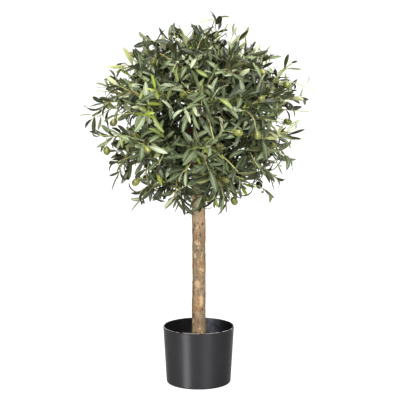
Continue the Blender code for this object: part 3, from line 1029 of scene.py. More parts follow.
@dataclass
class Shoots(Table):
    """Twigs as arrays: each bends evenly from its start to its end.

    Attributes:
        start: Points of shape (n, 3).
        bend: The points that the twigs bend towards.
        end: Points of shape (n, 3).
        root_r: Radii at the start.
        tip_r: Radii at the end.
        turn: The angle round each twig that its leaves start from.
    """

    start: Array
    bend: Array
    end: Array
    root_r: Array
    tip_r: Array
    turn: Array

    def corners(self, dimensions: int) -> list[Array]:
        """Starts, bends and ends, with empty dimensions put in the middle."""
        shape = (len(self.start), *([1] * (dimensions - 2)), 3)
        return [points.reshape(shape) for points in (self.start, self.bend, self.end)]

    def at(self, share: Array) -> Array:
        """Points at a share of each twig's length: (1-s)^2 start + 2s(1-s) bend + s^2 end."""
        s = share[..., None]
        start, bend, end = self.corners(s.ndim)
        return (1 - s) ** 2 * start + 2 * s * (1 - s) * bend + s**2 * end

    def axis(self, share: Array) -> Array:
        """Unit directions of the twigs at a share of their length."""
        s = share[..., None]
        start, bend, end = self.corners(s.ndim)
        return unit((1 - s) * (bend - start) + s * (end - bend))

    def add_to(self, shell: Shell, stations: int, sides: int) -> None:
        """Adds the twigs to a shell as tapering tubes."""
        share = np.linspace(0, 1, stations)[None] + np.zeros((len(self.start), 1))
        radii = self.root_r[:, None] + (self.tip_r - self.root_r)[:, None] * share
        add_tubes(shell, self.at(share), radii, sides)


def straight_stalks(start: Array, end: Array, radius: float) -> Shoots:
    """Straight stalks of one radius."""
    radii = np.full(len(start), radius)
    return Shoots(start, (start + end) / 2, end, radii, radii, np.zeros(len(start)))


@dataclass
class CrownRule:
    """The rule that the crown's solids grow by: its masses, boughs, stems, side twigs and olives.

    Attributes:
        roundness_top: How boxy the crown's outline is above the centre, 2 being an ellipse.
        tiers: Name, elevation, first azimuth, number and bough height of each tier of masses.
    """

    centre: Point = (0.0, 0.0, 0.655)
    reach_side: float = 0.283
    reach_up: float = 0.248
    roundness_top: float = 1.9
    roundness_foot: float = 2.5
    tiers: tuple[tuple[str, float, float, int, float], ...] = (
        ("top", 90.0, 0.0, 1, 0.700),
        ("upper", 50.0, 12.0, 6, 0.684),
        ("middle", 14.0, 0.0, 8, 0.644),
        ("lower", -24.0, 20.0, 7, 0.604),
        ("bottom", -60.0, 40.0, 4, 0.570),
    )
    jitter_deg: float = 3.0
    entry: float = 0.090
    bough_r: Span = (0.0034, 0.0023)
    bough_straight: float = 0.010
    bough_pull: float = 0.4
    bough_turn: float = 7.0
    bough_inside: float = 0.004
    side_twigs: int = 5
    side_spread: float = 0.78
    side_stray: Span = (0.85, 1.1)
    twig_ends: Span = (0.70, 0.84)
    twig_forks: Span = (0.12, 0.52)
    stem_r: float = 0.0026
    twig_r: Span = (0.0015, 0.0013)
    olive_half: float = 0.0108
    olive_r: float = 0.0082
    olive_places: Span = (0.55, 0.95)
    olive_tries: int = 24
    stalk_length: float = 0.0100
    stalk_r: float = 0.0008
    stalk_sag: float = 0.9
    stalk_sink: float = 0.0012
    trunk_clear: float = 0.004
    heart_r: float = 0.075

    @property
    def middle(self) -> Array:
        """The crown's centre."""
        return np.array(self.centre)

    def reach_measure(self, offsets: Array) -> Array:
        """How far offsets from the centre go towards the crown's outline, where it is 1.

        Formula: (side^p + up^p)^(1/p), each as a share of its half-axis, p being the roundness.
        """
        power = np.where(offsets[..., 2] > 0, self.roundness_top, self.roundness_foot)
        side = np.hypot(offsets[..., 0], offsets[..., 1]) / self.reach_side
        up = np.abs(offsets[..., 2]) / self.reach_up
        return (side**power + up**power) ** (1 / power)

    def share_within(self, root: Array, end: Array, limit: Array, least: float) -> Array:
        """The share of each way from root to end that stays within a limit of the reach.

        Formula: (limit - reach of the root) / (reach of the end - reach of the root), at most 1.

        Args:
            root: Points of shape (n, 3).
            end: Points of shape (n, 3).
            limit: The reach that each end may have.
            least: The smallest share given.
        """
        reach, base = self.reach_measure(end - self.middle), self.reach_measure(root - self.middle)
        share = np.where(reach > limit, (limit - base) / np.maximum(reach - base, TINY), 1.0)
        return np.clip(share, least, 1.0)

    def masses(self) -> list[tuple[str, float, Array]]:
        """The name of each mass, its bough's height on the stem and the unit direction of its middle."""
        random = np.random.default_rng(SEED)
        found = []
        for tier, elevation, azimuth, count, bough_height in self.tiers:
            for number in range(count):
                wobble = random.uniform(-self.jitter_deg, self.jitter_deg, 2) * (count > 1)
                turn = math.radians(azimuth + 360.0 * number / count + wobble[1])
                direction = heading(turn, math.radians(elevation + wobble[0]))
                found.append((f"{tier}_{number + 1}", bough_height, direction))
        return found

    def bough(self, bough_height: float, direction: Array, straight: float) -> Shoots:
        """A bough as one limb, from inside the stem to a last straight stretch before its mass.

        Formula: one even bend, towards a point back along the mass's direction.
        """
        start = np.array([0.0, 0.0, bough_height])
        end = self.middle + self.entry * direction - straight * direction
        bend = end - direction * self.bough_pull * np.linalg.norm(end - start)
        radii = [np.full(1, radius) for radius in self.bough_r]
        return Shoots(start[None], bend[None], end[None], *radii, np.full(1, self.bough_turn * direction[0]))

    def twig_lines(self, direction: Array, opening: float, random: Random) -> list[Twig]:
        """Stem and side twigs of a mass, the stem first.

        Args:
            direction: Unit direction of the mass's middle.
            opening: Half the angle to the nearest mass.
            random: The mass's own source.
        """
        root = self.middle + (self.entry + CLEAR) * direction
        reach = 1.0 / self.reach_measure(direction)
        stem_end = self.middle + random.uniform(*self.twig_ends) * reach * direction
        lines = [(root, stem_end, self.stem_r, self.twig_r[1])]
        first, turn = across(direction), random.uniform(0, 2 * math.pi)
        low, high = self.twig_forks
        for number in range(self.side_twigs):
            place = low + (high - low) * ((2 * number) % self.side_twigs) / (self.side_twigs - 1)
            lean = opening * self.side_spread * random.uniform(*self.side_stray)
            around = turned(first, direction, turn + 2 * math.pi * number / self.side_twigs)
            aim = direction * math.cos(lean) + around * math.sin(lean)
            end = self.middle + random.uniform(*self.twig_ends) / self.reach_measure(aim) * aim
            lines.append((root + place * (stem_end - root), end, *self.twig_r))
        return lines


@dataclass
class Mass:
    """One mass of foliage: the shoots that carry its leaves, the limbs that carry those, and its olives.

    Attributes:
        limbs: Its stem and side twigs.
        leaders: The outer ends of its limbs, which bear leaves.
        forks: Its finer leafy shoots.
    """

    name: str
    limbs: Shoots
    leaders: Shoots
    forks: Shoots
    stalks: Shoots
    olives: list[Matrix]


def foliage_nodes(masses: list[Mass]) -> list[str]:
    """The names of the masses' solids."""
    return [f"foliage_{mass.name}" for mass in masses]


@dataclass
class Growth:
    """Carries the crown's rule on to finer twigs, within the same reach.

    Attributes:
        tip_reach: How far a shoot's end may go towards the crown's outline.
        least_share: The least that a shoot and a leader are drawn back to, as a share of their length.
        standing_ends: Ends of the sprays that stand farthest out of the crown in front.
        front_olives: Places of the olives that show in front, and whether each is ripe.
        round_rise: Lowest height and span of the olives' spiral round the sides, on a ball of radius 1.
        front_limit: Share of the way to the front beyond which the spiral sets none.
        knot_places: First and last share of a shoot where an olive may hang, and how many are tried.
        stalk_want: The wished distance from the shoot to the olive's place.
    """

    rule: CrownRule
    stem: Stem
    limb_bend: float = 0.05
    limb_taper: float = 0.8
    forks: int = 4
    fork_span: Span = (0.04, 0.48)
    fork_stray: float = 0.05
    bough_forks: int = 6
    bough_span: Span = (0.40, 0.97)
    fork_lean_deg: Span = (28.0, 60.0)
    fork_lift: Span = (-0.30, 0.45)
    fork_outward: float = 0.35
    fork_margins: Span = (0.012, 0.010)
    shoot_length: Span = (0.080, 0.050)
    length_stray: Span = (0.75, 1.2)
    shoot_r: Span = (0.0015, 0.0010)
    tip_reach: Span = (0.36, 0.565)
    least_share: Span = (0.35, 0.4)
    leader_root: float = 0.72
    leader_thick: float = 1.5
    leader_turn: float = 0.7
    leader_stray: float = 0.26
    leader_length: Span = (0.015, 0.060)
    leader_reach: Span = (0.42, 0.565)
    spray_reach: Span = (0.78, 0.96)
    spray_share: float = 0.40
    leaner_below: float = 0.10
    leader_lift: float = 0.28
    lift_from: float = 0.6
    standing_ends: tuple[Point, ...] = (
        (0.254, -0.020, 0.724), (0.224, -0.050, 0.786), (0.038, -0.020, 0.884), (-0.112, -0.030, 0.836),
        (-0.252, -0.010, 0.648), (-0.137, -0.040, 0.457), (0.184, -0.040, 0.509), (0.160, -0.050, 0.482),
        (0.070, -0.060, 0.464), (0.006, -0.080, 0.472), (-0.040, -0.090, 0.458), (0.040, -0.100, 0.468),
        (-0.014, -0.115, 0.502), (0.018, -0.110, 0.490),
    )
    spray_from: float = 0.66
    spray_arch: float = 0.010
    front_olives: tuple[tuple[float, float, float, bool], ...] = (
        (-0.198, -0.142, 0.655, False), (-0.151, -0.138, 0.514, False), (0.149, -0.132, 0.771, False),
        (0.055, -0.104, 0.838, True), (0.091, -0.060, 0.451, False), (0.217, -0.116, 0.686, True),
        (0.092, -0.231, 0.643, False), (0.142, -0.175, 0.714, False), (0.142, -0.184, 0.594, False),
        (0.009, -0.224, 0.675, True), (0.155, -0.164, 0.566, True), (-0.071, -0.179, 0.753, True),
        (-0.085, -0.112, 0.818, True),
    )
    round_olives: int = 20
    round_rise: Span = (-0.80, 1.70)
    front_limit: float = 0.35
    ripe_every: int = 3
    olive_reach: float = 0.84
    knot_places: tuple[float, float, int] = (0.25, 0.95, 8)
    stalk_want: float = 0.018
    stalk_above: float = 0.4
    stalk_droop: float = 0.006
    stalk_length: Span = (0.006, 0.026)
    stalk_thick: float = 1.2

    def limbs_of(self, lines: list[Twig], random: Random) -> Shoots:
        """The stem and side twigs with a slight bend in each."""
        start = np.array([line[0] for line in lines])
        end = np.array([line[1] for line in lines])
        span = np.linalg.norm(end - start, axis=1)[:, None]
        bend = (start + end) / 2 + random.normal(0, self.limb_bend, (len(lines), 3)) * span
        radii = np.array([line[2:] for line in lines])
        turn = random.uniform(0, 2 * math.pi, len(lines))
        return Shoots(start, bend, end, radii[:, 0], radii[:, 1] * self.limb_taper, turn)

    def forks_of(self, limbs: Shoots, forks: int, span: Span, random: Random) -> Shoots:
        """Finer shoots from the limbs, each turned by the golden angle from the one before.

        Formula: the direction leans from the limb's by an angle, bends back towards the outside
        and sags or lifts a little; the length falls from the lowest fork to the highest.

        Args:
            limbs: The limbs that the shoots spring from.
            forks: How many spring from each.
            span: Shares of a limb's length between which they spring.
            random: Source of the angles and lengths.

        Returns:
            The shoots, without those too near the stem.
        """
        count = len(limbs.start)
        number = np.arange(forks)
        stray = random.uniform(-self.fork_stray, self.fork_stray, (count, forks))
        share = np.linspace(*span, forks)[None] + stray
        root, axis = limbs.at(share), limbs.axis(share)
        around = turned(across(axis), axis, limbs.turn[:, None] + GOLDEN_ANGLE * number)
        lean = np.radians(random.uniform(*self.fork_lean_deg, share.shape))[..., None]
        aim = unit(axis * np.cos(lean) + around * np.sin(lean))
        low, high = self.shoot_length
        length = low + (high - low) * number / max(forks - 1, 1)
        length = (length * random.uniform(*self.length_stray, share.shape))[..., None]
        outward = unit(root - self.rule.middle)
        lift = np.array([0.0, 0.0, 1.0]) * random.uniform(*self.fork_lift, share.shape)[..., None]
        bent = unit(aim + self.fork_outward * outward + lift)
        bend = root + 0.5 * length * aim
        end = root + length * unit(aim + bent)
        root, bend, end = (points.reshape(-1, 3) for points in (root, bend, end))
        limit = random.uniform(*self.tip_reach, len(root)) * self.leanness(end)
        end = root + (end - root) * self.rule.share_within(root, end, limit, self.least_share[0])[:, None]
        turn = random.uniform(0, 2 * math.pi, len(root))
        shoots = Shoots(root, bend, end, *(np.full(len(root), radius) for radius in self.shoot_r), turn)
        end_margin, bend_margin = self.fork_margins
        return shoots.kept(self.stem.is_clear(end, end_margin) & self.stem.is_clear(bend, bend_margin))

    def leanness(self, points: Array) -> Array:
        """Factor on the reach: 1 above, and less by up to leaner_below half-way down the lower half."""
        down = np.clip((self.rule.centre[2] - points[:, 2]) / self.rule.reach_up, 0, 1)
        return 1 - self.leaner_below * np.sin(math.pi * down) ** 2

    def leading(self, limbs: Shoots, random: Random) -> Shoots:
        """Leafy leaders that carry each limb on from three quarters of its length to beyond its end.

        Formula: the limb's last direction, turned a little, times a random length, drawn back to a
        limit that differs from one leader to the next.
        """
        count = len(limbs.start)
        start = limbs.at(np.full((count, 1), self.leader_root))[:, 0]
        axis = limbs.axis(np.ones((count, 1)))[:, 0]
        rising = self.lift_from + (limbs.end[:, 2] - self.rule.centre[2]) / self.rule.reach_up
        lift = [0.0, 0.0, self.leader_lift] * np.clip(rising, 0, 1)[:, None]
        aim = unit(axis + random.normal(0, self.leader_stray, (count, 3)) + lift)
        end = limbs.end + aim * random.uniform(*self.leader_length, count)[:, None]
        loose = random.random(count) < self.spray_share
        farther, nearer = random.uniform(*self.spray_reach, count), random.uniform(*self.leader_reach, count)
        limit = np.where(loose, farther, nearer) * self.leanness(end)
        end = start + (end - start) * self.rule.share_within(start, end, limit, self.least_share[1])[:, None]
        bend = (start + end) / 2 + (limbs.end - (start + end) / 2) * 0.5
        root_r, turn = limbs.tip_r * self.leader_thick, limbs.turn + self.leader_turn
        return Shoots(start, bend, end, root_r, limbs.tip_r, turn)

    def grow(self) -> list[Mass]:
        """Grows every mass by the rule's own random draws, then carries it on with draws of its own."""
        found = []
        masses = self.rule.masses()
        directions = np.array([direction for _, _, direction in masses])
        olives = OlivePlaces(self.rule, self.stem, directions)
        for index, (name, bough_height, direction) in enumerate(masses):
            random = np.random.default_rng([SEED, index])
            others = np.delete(directions, index, 0)
            opening = math.acos(float(np.clip((others @ direction).max(), -1, 1))) / 2
            lines = self.rule.twig_lines(direction, opening, random)
            placed = [hung for hung in [olives.place(index, lines, random)] if hung]
            finer = np.random.default_rng([SEED, index, 7])
            limbs = self.limbs_of(lines, finer)
            forks = self.forks_of(limbs, self.forks, self.fork_span, finer)
            bough = self.rule.bough(bough_height, direction, straight=0.0)
            bough_forks = self.forks_of(bough, self.bough_forks, self.bough_span, finer)
            roots, tips = (np.array([stalk[end] for stalk, _ in placed]) for end in (0, 1))
            found.append(
                Mass(
                    name,
                    limbs,
                    leaders=self.leading(limbs, finer),
                    forks=Shoots.joined([forks, bough_forks]),
                    stalks=straight_stalks(roots, tips, self.rule.stalk_r),
                    olives=[matrix for _, matrix in placed],
                )
            )
        return found

    def standing_sprays(self, masses: list[Mass]) -> Shoots:
        """The sprays that stand farthest out, each from the leader that comes nearest on its way."""
        half_way = [mass.leaders.at(np.full((len(mass.leaders.start), 1), 0.5))[:, 0] for mass in masses]
        knots = np.concatenate(half_way)
        end = np.array(self.standing_ends)
        passing = self.rule.middle + self.spray_from * (end - self.rule.middle)
        start = np.array([knots[np.argmin(np.linalg.norm(knots - point, axis=1))] for point in passing])
        bend = (start + end) / 2 + np.array([0.0, 0.0, self.spray_arch])
        root_r, tip_r = (np.full(len(end), radius) for radius in self.shoot_r)
        return Shoots(start, bend, end, root_r, tip_r, GOLDEN_ANGLE * np.arange(len(end)))

    def olives_wanted(self) -> list[tuple[Array, bool]]:
        """Places of the olives and whether each is ripe: those in front, then a spiral round the rest."""
        wanted = [(np.array(place), ripe) for *place, ripe in self.front_olives]
        lowest, span = self.round_rise
        for number in range(self.round_olives):
            rise = lowest + span * (number + 0.5) / self.round_olives
            turn = number * GOLDEN_ANGLE
            level = math.sqrt(1 - rise * rise)
            direction = np.array([level * math.cos(turn), level * math.sin(turn), rise])
            if direction[1] > -self.front_limit:
                place = self.rule.middle + direction * self.olive_reach / self.rule.reach_measure(direction)
                wanted.append((place, number % self.ripe_every == 0))
        return wanted

    def hang_olives(self, masses: list[Mass]) -> "HungOlives":
        """Hangs olives at the crown's outside, each from the shoot that comes nearest above its place.

        Formula: the stalk runs from the shoot towards the place, as far as the olive's top.
        """
        rule, share = self.rule, np.linspace(*self.knot_places)[None]
        grown = [group for mass in masses for group in (mass.leaders, mass.forks)]
        shares = [share + np.zeros((len(group.start), 1)) for group in grown]
        knots = np.concatenate([group.at(places).reshape(-1, 3) for group, places in zip(grown, shares)])
        wanted = self.olives_wanted()
        roots, tips, places = [], [], []
        for place, _ in wanted:
            offsets = place - knots
            distance = np.linalg.norm(offsets, axis=1)
            near = int(np.argmin(np.abs(distance - self.stalk_want) + self.stalk_above * offsets[:, 2]))
            direction = unit(offsets[near] - [0.0, 0.0, self.stalk_droop])
            length = float(np.clip(distance[near] - rule.olive_half, *self.stalk_length))
            tip = knots[near] + length * direction
            roots.append(knots[near])
            tips.append(tip)
            places.append(standing(tip + (rule.olive_half - rule.stalk_sink) * direction, direction))
        stalks = straight_stalks(np.array(roots), np.array(tips), rule.stalk_r * self.stalk_thick)
        return HungOlives(stalks, places, [ripe for _, ripe in wanted])


@dataclass
class HungOlives:
    """Olives that show at the crown's outside."""

    stalks: Shoots
    places: list[Matrix]
    ripe: list[bool]


@dataclass
class OlivePlaces:
    """Finds where an olive hangs free of its mass's twigs, as the crown's rule does."""

    rule: CrownRule
    stem: Stem
    directions: Array

    def plain_olive(self) -> tuple[Array, list[list[int]]]:
        """Corners and faces of the solids' olive."""
        corners, faces = ball(bmesh.ops.create_uvsphere, u_segments=6, v_segments=4)
        return corners * [self.rule.olive_r, self.rule.olive_r, self.rule.olive_half], faces

    def twig_tree(self, start: Array, end: Array, radii: Span) -> BVHTree:
        """A three-sided twig to test an olive against."""
        shell = Shell()
        add_tubes(shell, np.array([[start, end]]), np.array([radii]), 3)
        faces = [face.tolist() for group in shell.faces for face in group]
        return BVHTree.FromPolygons(shell.points[0].tolist(), faces)

    def holds(self, index: int, points: Array) -> bool:
        """Whether points keep to the mass's own space."""
        own = self.directions[index]
        walls = unit(own - np.delete(self.directions, index, 0))
        offsets = points - self.rule.middle
        return bool(
            (walls @ offsets.T).min() >= CLEAR
            and np.linalg.norm(offsets, axis=1).min() >= self.rule.heart_r
            and self.rule.reach_measure(offsets).max() <= 1.0
            and self.stem.is_clear(points, self.rule.trunk_clear).all()
        )

    def place(
        self, index: int, lines: list[Twig], random: Random
    ) -> tuple[tuple[Array, Array], Matrix] | None:
        """Tries places on the side twigs until an olive hangs free.

        Args:
            index: Number of the mass.
            lines: Its stem and side twigs.
            random: Source of the tries.

        Returns:
            The stalk's ends and the olive's placing matrix, or None.
        """
        rule = self.rule
        trees = [self.twig_tree(start, end, radii) for start, end, *radii in lines]
        corners, faces = self.plain_olive()
        low, high = rule.olive_places
        for _ in range(rule.olive_tries):
            start, end = lines[int(random.integers(1, len(lines)))][:2]
            root = start + random.uniform(low, high) * (end - start)
            axis = unit(end - start)
            around = turned(across(axis), axis, random.uniform(0, 2 * math.pi))
            direction = unit(around - np.array([0.0, 0.0, rule.stalk_sag]))
            tip = root + rule.stalk_length * direction
            matrix = standing(tip + (rule.olive_half - rule.stalk_sink) * direction, direction)
            placed = moved(corners, matrix)
            tree = BVHTree.FromPolygons(placed.tolist(), faces)
            if self.holds(index, placed) and not any(tree.overlap(other) for other in trees):
                return (root, tip), matrix
        return None


# ---- leaves


@dataclass
class LeafSeats(Table):
    """Where leaves stand: arrays of the same length, one entry for each leaf.

    Attributes:
        root: Points of shape (n, 3).
        aim: Unit directions of the leaves.
        face: Unit directions that the upper faces turn to.
        length: Lengths.
        tone: Index of each leaf's tone.
    """

    root: Array
    aim: Array
    face: Array
    length: Array
    tone: Array


@dataclass
class Leaf:
    """One olive leaf: a narrow lance with a folded midrib, an arched back and a thin keel below.

    Attributes:
        rows: Shares of the length where the outline is set.
        widths: Half-widths there, as shares of the greatest half-width.
        keel: Thickness as a share of the length.
        keel_shares: Share of it everywhere, and the share that follows the width.
    """

    rows: tuple[float, ...] = (0.0, 0.06, 0.18, 0.36, 0.56, 0.76, 0.92, 1.0)
    widths: tuple[float, ...] = (0.15, 0.14, 0.50, 0.86, 1.00, 0.88, 0.48, 0.06)
    width: float = 0.240
    rib: float = 0.10
    fold: float = 0.28
    keel: float = 0.012
    keel_shares: Span = (0.35, 0.65)
    droop: Span = (0.45, 0.75)
    least_bend: float = 1e-3
    sweep: float = 0.05
    twist: float = 0.45
    breadth: Span = (0.76, 1.06)
    cup: Span = (0.3, 1.4)

    def points(self, seats: LeafSeats, random: Random) -> Array:
        """Points of all the leaves.

        Formula: along the leaf the midline is a circular arc of a random droop, swept a little
        sideways; across it each row is a flat V of a left edge, two rib points and a right edge,
        turned by a random twist, with one keel point underneath.

        Args:
            seats: Where the leaves stand.
            random: Source of droop, sweep, twist, breadth and cup.

        Returns:
            Points of shape (leaves, rows, 5, 3).
        """
        count = len(seats.length)
        share = np.array(self.rows)
        half = np.array(self.widths) * self.width / 2
        droop = random.normal(*self.droop, count)[:, None]
        bent = np.where(np.abs(droop) < self.least_bend, self.least_bend, droop)
        sweep = random.normal(0, self.sweep, count)[:, None]
        twist = random.normal(0, self.twist, count)[:, None] * share
        stretch = seats.length[:, None]
        along = stretch * np.sin(bent * share) / bent
        down = stretch * (1 - np.cos(bent * share)) / bent
        side = stretch * sweep * share * (1 - share) * 4
        breadth = (half * random.uniform(*self.breadth, count)[:, None]) * stretch
        edge = breadth * (self.fold * random.uniform(*self.cup, count)[:, None])
        middle = np.zeros_like(breadth)
        everywhere, following = self.keel_shares
        keel = middle - self.keel * stretch * (everywhere + half / half.max() * following)
        across_leaf = np.stack([breadth, breadth * self.rib, -breadth * self.rib, -breadth, middle], -1)
        raised = np.stack([edge, middle, middle, edge, keel], -1)
        cos, sin = np.cos(twist)[..., None], np.sin(twist)[..., None]
        sideways = side[..., None] + across_leaf * cos - raised * sin
        upwards = across_leaf * sin + raised * cos
        slope_cos, slope_sin = np.cos(bent * share)[..., None], np.sin(bent * share)[..., None]
        forward = along[..., None] + upwards * slope_sin
        lift = -down[..., None] + upwards * slope_cos
        root, aim = seats.root[:, None, None], seats.aim[:, None, None]
        level = seats.face - seats.aim * (seats.face * seats.aim).sum(-1, keepdims=True)
        face = unit(level)[:, None, None]
        left = np.cross(face, aim)
        return root + aim * forward[..., None] + left * sideways[..., None] + face * lift[..., None]

    def add_to(self, shell: Shell, points: Array) -> None:
        """Adds leaves to a shell: upper faces in slot 0, midribs in slot 1, undersides in slot 2.

        The upper face and the underside are split along the same diagonals, so that they never cross.
        """
        count, rows, size = points.shape[:3]
        upper = [[0, 5, 6], [0, 6, 1], [3, 2, 7], [3, 7, 8]]
        rib = [[1, 6, 7], [1, 7, 2]]
        under = [[0, 4, 9], [0, 9, 5], [3, 8, 9], [3, 9, 4]]
        row = np.arange(rows - 1)[:, None, None] * size
        strips = (row + np.array(upper + rib + under)).reshape(-1, 3)
        last = (rows - 1) * size
        ends = [[0, 1, 4], [1, 2, 4], [2, 3, 4]]
        caps = np.array(ends + [[last + after, last + before, last + 4] for before, after, _ in ends])
        slots = [*([0] * 4 + [1] * 2 + [2] * 4) * (rows - 1), *[2] * 6]
        faces = copied(np.vstack([strips, caps]), count, rows * size)
        shell.add(points.reshape(-1, 3), [faces], [np.tile(slots, count)])


@dataclass
class Leafing:
    """Sets leaves in pairs on the shoots, and one at each end, and makes them a piece for each tone.

    Attributes:
        outline: How far a leaf's tip may go towards the crown's outline.
        olive_margins: Distance that leaves keep from an olive, and from the line outwards from one.
        lime_reach: Share of the way to the outline beyond which young and olive leaves wear the
            middle tone.
        inner_reach: Share of the way to the outline below which every leaf wears the deep tone, as painted
            shade.
        shaded_share: Painted shade: how many leaves wear the deep tone near the outline, and the dark tone
            at the foot.
    """

    growth: Growth
    leaf: Leaf
    sprays: Shoots
    olives: Array
    leader_places: tuple[float, ...] = (0.34, 0.86)
    fork_places: tuple[float, ...] = (0.42, 0.84)
    standing_places: tuple[float, ...] = (0.50, 0.90)
    place_stray: float = 0.035
    place_limits: Span = (0.02, 0.98)
    turn_stray: float = 0.30
    spread_deg: Span = (24.0, 62.0)
    tip_stray: float = 0.22
    face_outward: float = 0.55
    face_up: float = 0.40
    face_stray: float = 0.60
    length: Span = (0.042, 0.058)
    short_end: float = 0.86
    short_young: float = 0.78
    least_length: float = 0.62
    outline: Span = (0.90, 0.985)
    standing_outline: Span = (1.00, 1.05)
    stem_margins: Span = (0.006, 0.007)
    olive_shares: tuple[float, ...] = (0.15, 0.4, 0.7, 1.0)
    olive_margins: Span = (0.0135, 0.0095)
    other_share: float = 0.40
    lime_share: float = 0.11
    lime_reach: float = 0.80
    inner_reach: float = 0.45
    outer_reach: float = 0.68
    foot_below: float = 0.07
    shaded_share: Span = (0.50, 0.90)

    def seats_of(
        self,
        shoots: Shoots,
        places: tuple[float, ...],
        outline: Span,
        random: Random,
    ) -> LeafSeats:
        """Seats of the leaves of one mass's shoots.

        Formula: each pair stands across the shoot, turned a quarter from the pair before; a leaf's
        direction is the shoot's axis leant outwards, and its face turns up and away from the
        crown's middle.

        Args:
            shoots: The shoots.
            places: Shares of a shoot where its pairs stand.
            outline: How far the leaves' tips may go.
            random: Source of the strays, lengths and tones.
        """
        count = len(shoots.start)
        stray = random.uniform(-self.place_stray, self.place_stray, (count, len(places), 2))
        share = np.array(places)[None, :, None] + stray
        share = np.clip(share, *self.place_limits).reshape(count, -1)
        root, axis = shoots.at(share), shoots.axis(share)
        quarter = np.arange(len(places))[None, :, None] * math.pi / 2
        turn = shoots.turn[:, None, None] + quarter + np.array([0.0, math.pi])
        turn = (turn + random.normal(0, self.turn_stray, turn.shape)).reshape(count, -1)
        around = turned(across(axis), axis, turn)
        spread = np.radians(random.uniform(*self.spread_deg, share.shape))[..., None]
        aim = axis * np.cos(spread) + around * np.sin(spread)
        tip_root, tip_axis = shoots.at(np.ones((count, 1))), shoots.axis(np.ones((count, 1)))
        tip_aim = tip_axis + random.normal(0, self.tip_stray, tip_axis.shape)
        pairs = ((root, tip_root), (axis, tip_axis), (aim, tip_aim))
        root, axis, aim = (np.concatenate(pair, 1) for pair in pairs)
        aim = unit(aim)
        outward = unit(root - self.growth.rule.middle)
        face = axis - aim * (axis * aim).sum(-1, keepdims=True) + self.face_outward * outward
        face = face + np.array([0.0, 0.0, self.face_up]) + random.normal(0, self.face_stray, aim.shape)
        length = random.uniform(*self.length, aim.shape[:2])
        length[:, -3:] *= self.short_end
        tone, young = self.shaded(self.tones_of(count, aim.shape[1], random), root, random)
        length = np.where(young, length * self.short_young, length)
        flat = (array.reshape(-1, *array.shape[2:]) for array in (root, aim, unit(face), length, tone))
        return self.within(LeafSeats(*flat), outline, random)

    def tones_of(self, shoots: int, leaves: int, random: Random) -> Array:
        """The tone of each leaf: one for a shoot, a neighbour's here and there, and lime at some ends."""
        shares = np.array([tone.value.share for tone in Tone])
        shares = shares / shares.sum()
        tone = np.repeat(random.choice(len(shares), shoots, p=shares)[:, None], leaves, 1)
        other = random.choice(len(shares), (shoots, leaves), p=shares)
        tone = np.where(random.random((shoots, leaves)) < self.other_share, other, tone)
        young = random.random(shoots) < self.lime_share
        tone[young, -3:] = len(Tone) - 1
        return tone

    def shaded(self, tone: Array, root: Array, random: Random) -> tuple[Array, Array]:
        """Painted shade: darker tones inside the crown, at its foot and for some of the leaves near its
        outline.

        Args:
            tone: Tones of the leaves.
            root: Points that the leaves stand on.
            random: Source of which leaves near the outline and at the foot are darker.

        Returns:
            The tones, and whether each leaf is young.
        """
        deep, dark, middle, lime = 0, 1, 2, len(Tone) - 1
        reach = self.growth.rule.reach_measure(root - self.growth.rule.middle)
        chance = random.random(tone.shape)
        outer_share, foot_share = self.shaded_share
        low = (root[..., 2] < self.growth.rule.centre[2] - self.foot_below) & (chance < foot_share)
        outer = (reach > self.outer_reach) & (chance < outer_share)
        tone = np.where(low & (tone > dark) & (tone < lime), dark, tone)
        tone = np.where((reach < self.inner_reach) | (outer & (tone < lime)), deep, tone)
        young = tone == lime
        return np.where((tone >= lime - 1) & (reach > self.lime_reach), middle, tone), young

    def within(self, seats: LeafSeats, outline: Span, random: Random) -> LeafSeats:
        """Shortens leaves that pass the crown's outline, and drops those left too short or in the way."""
        rule, stem = self.growth.rule, self.growth.stem
        limit = random.uniform(*outline, len(seats.length))
        length = seats.length.copy()
        for _ in range(3):
            tip = seats.root + seats.aim * length[:, None]
            length *= rule.share_within(seats.root, tip, limit, least=0.0)
        tip = seats.root + seats.aim * length[:, None]
        half_way = seats.root + seats.aim * length[:, None] / 2
        tip_margin, middle_margin = self.stem_margins
        keep = (length > self.least_length * self.length[0]) & stem.is_clear(tip, tip_margin)
        keep &= stem.is_clear(half_way, middle_margin)
        for share in self.olive_shares:
            keep &= self.is_clear_of_olives(seats.root + seats.aim * (length * share)[:, None])
        return replace(seats, length=length).kept(keep)

    def is_clear_of_olives(self, points: Array) -> Array:
        """Whether points keep clear of every olive and don't cover one from outside."""
        outward = unit(self.olives - self.growth.rule.middle)
        offsets = points[:, None] - self.olives[None]
        along = (offsets * outward).sum(-1)
        distance = np.linalg.norm(offsets, axis=-1)
        beside = np.linalg.norm(offsets - along[..., None] * outward, axis=-1)
        near, aside = self.olive_margins
        hidden = (distance < near) | ((along > 0) & (beside < aside))
        return ~hidden.any(1)

    def build(self, masses: list[Mass]) -> list[Piece]:
        """Makes one piece of leaves for each tone in place of the masses' solids."""
        found = []
        for index, mass in enumerate(masses):
            random = np.random.default_rng([SEED, index, 11])
            for shoots, places in ((mass.leaders, self.leader_places), (mass.forks, self.fork_places)):
                found.append(self.seats_of(shoots, places, self.outline, random))
        random = np.random.default_rng([SEED, 905])
        found.append(self.seats_of(self.sprays, self.standing_places, self.standing_outline, random))
        seats = LeafSeats.joined(found)
        points = self.leaf.points(seats, np.random.default_rng([SEED, 903]))
        pieces, nodes = [], foliage_nodes(masses)
        for number, tone in enumerate(Tone):
            shell = Shell()
            chosen = points[seats.tone == number]
            self.leaf.add_to(shell, chosen)
            finishes = tone.value.materials(tone.label)
            piece = shell.build(f"leaves_{tone.label}", finishes, 38.0, "foliage", nodes)
            log.info("%s: %d leaves", piece.name, len(chosen))
            pieces.append(piece)
        return pieces


# ---- twigs, boughs and olives


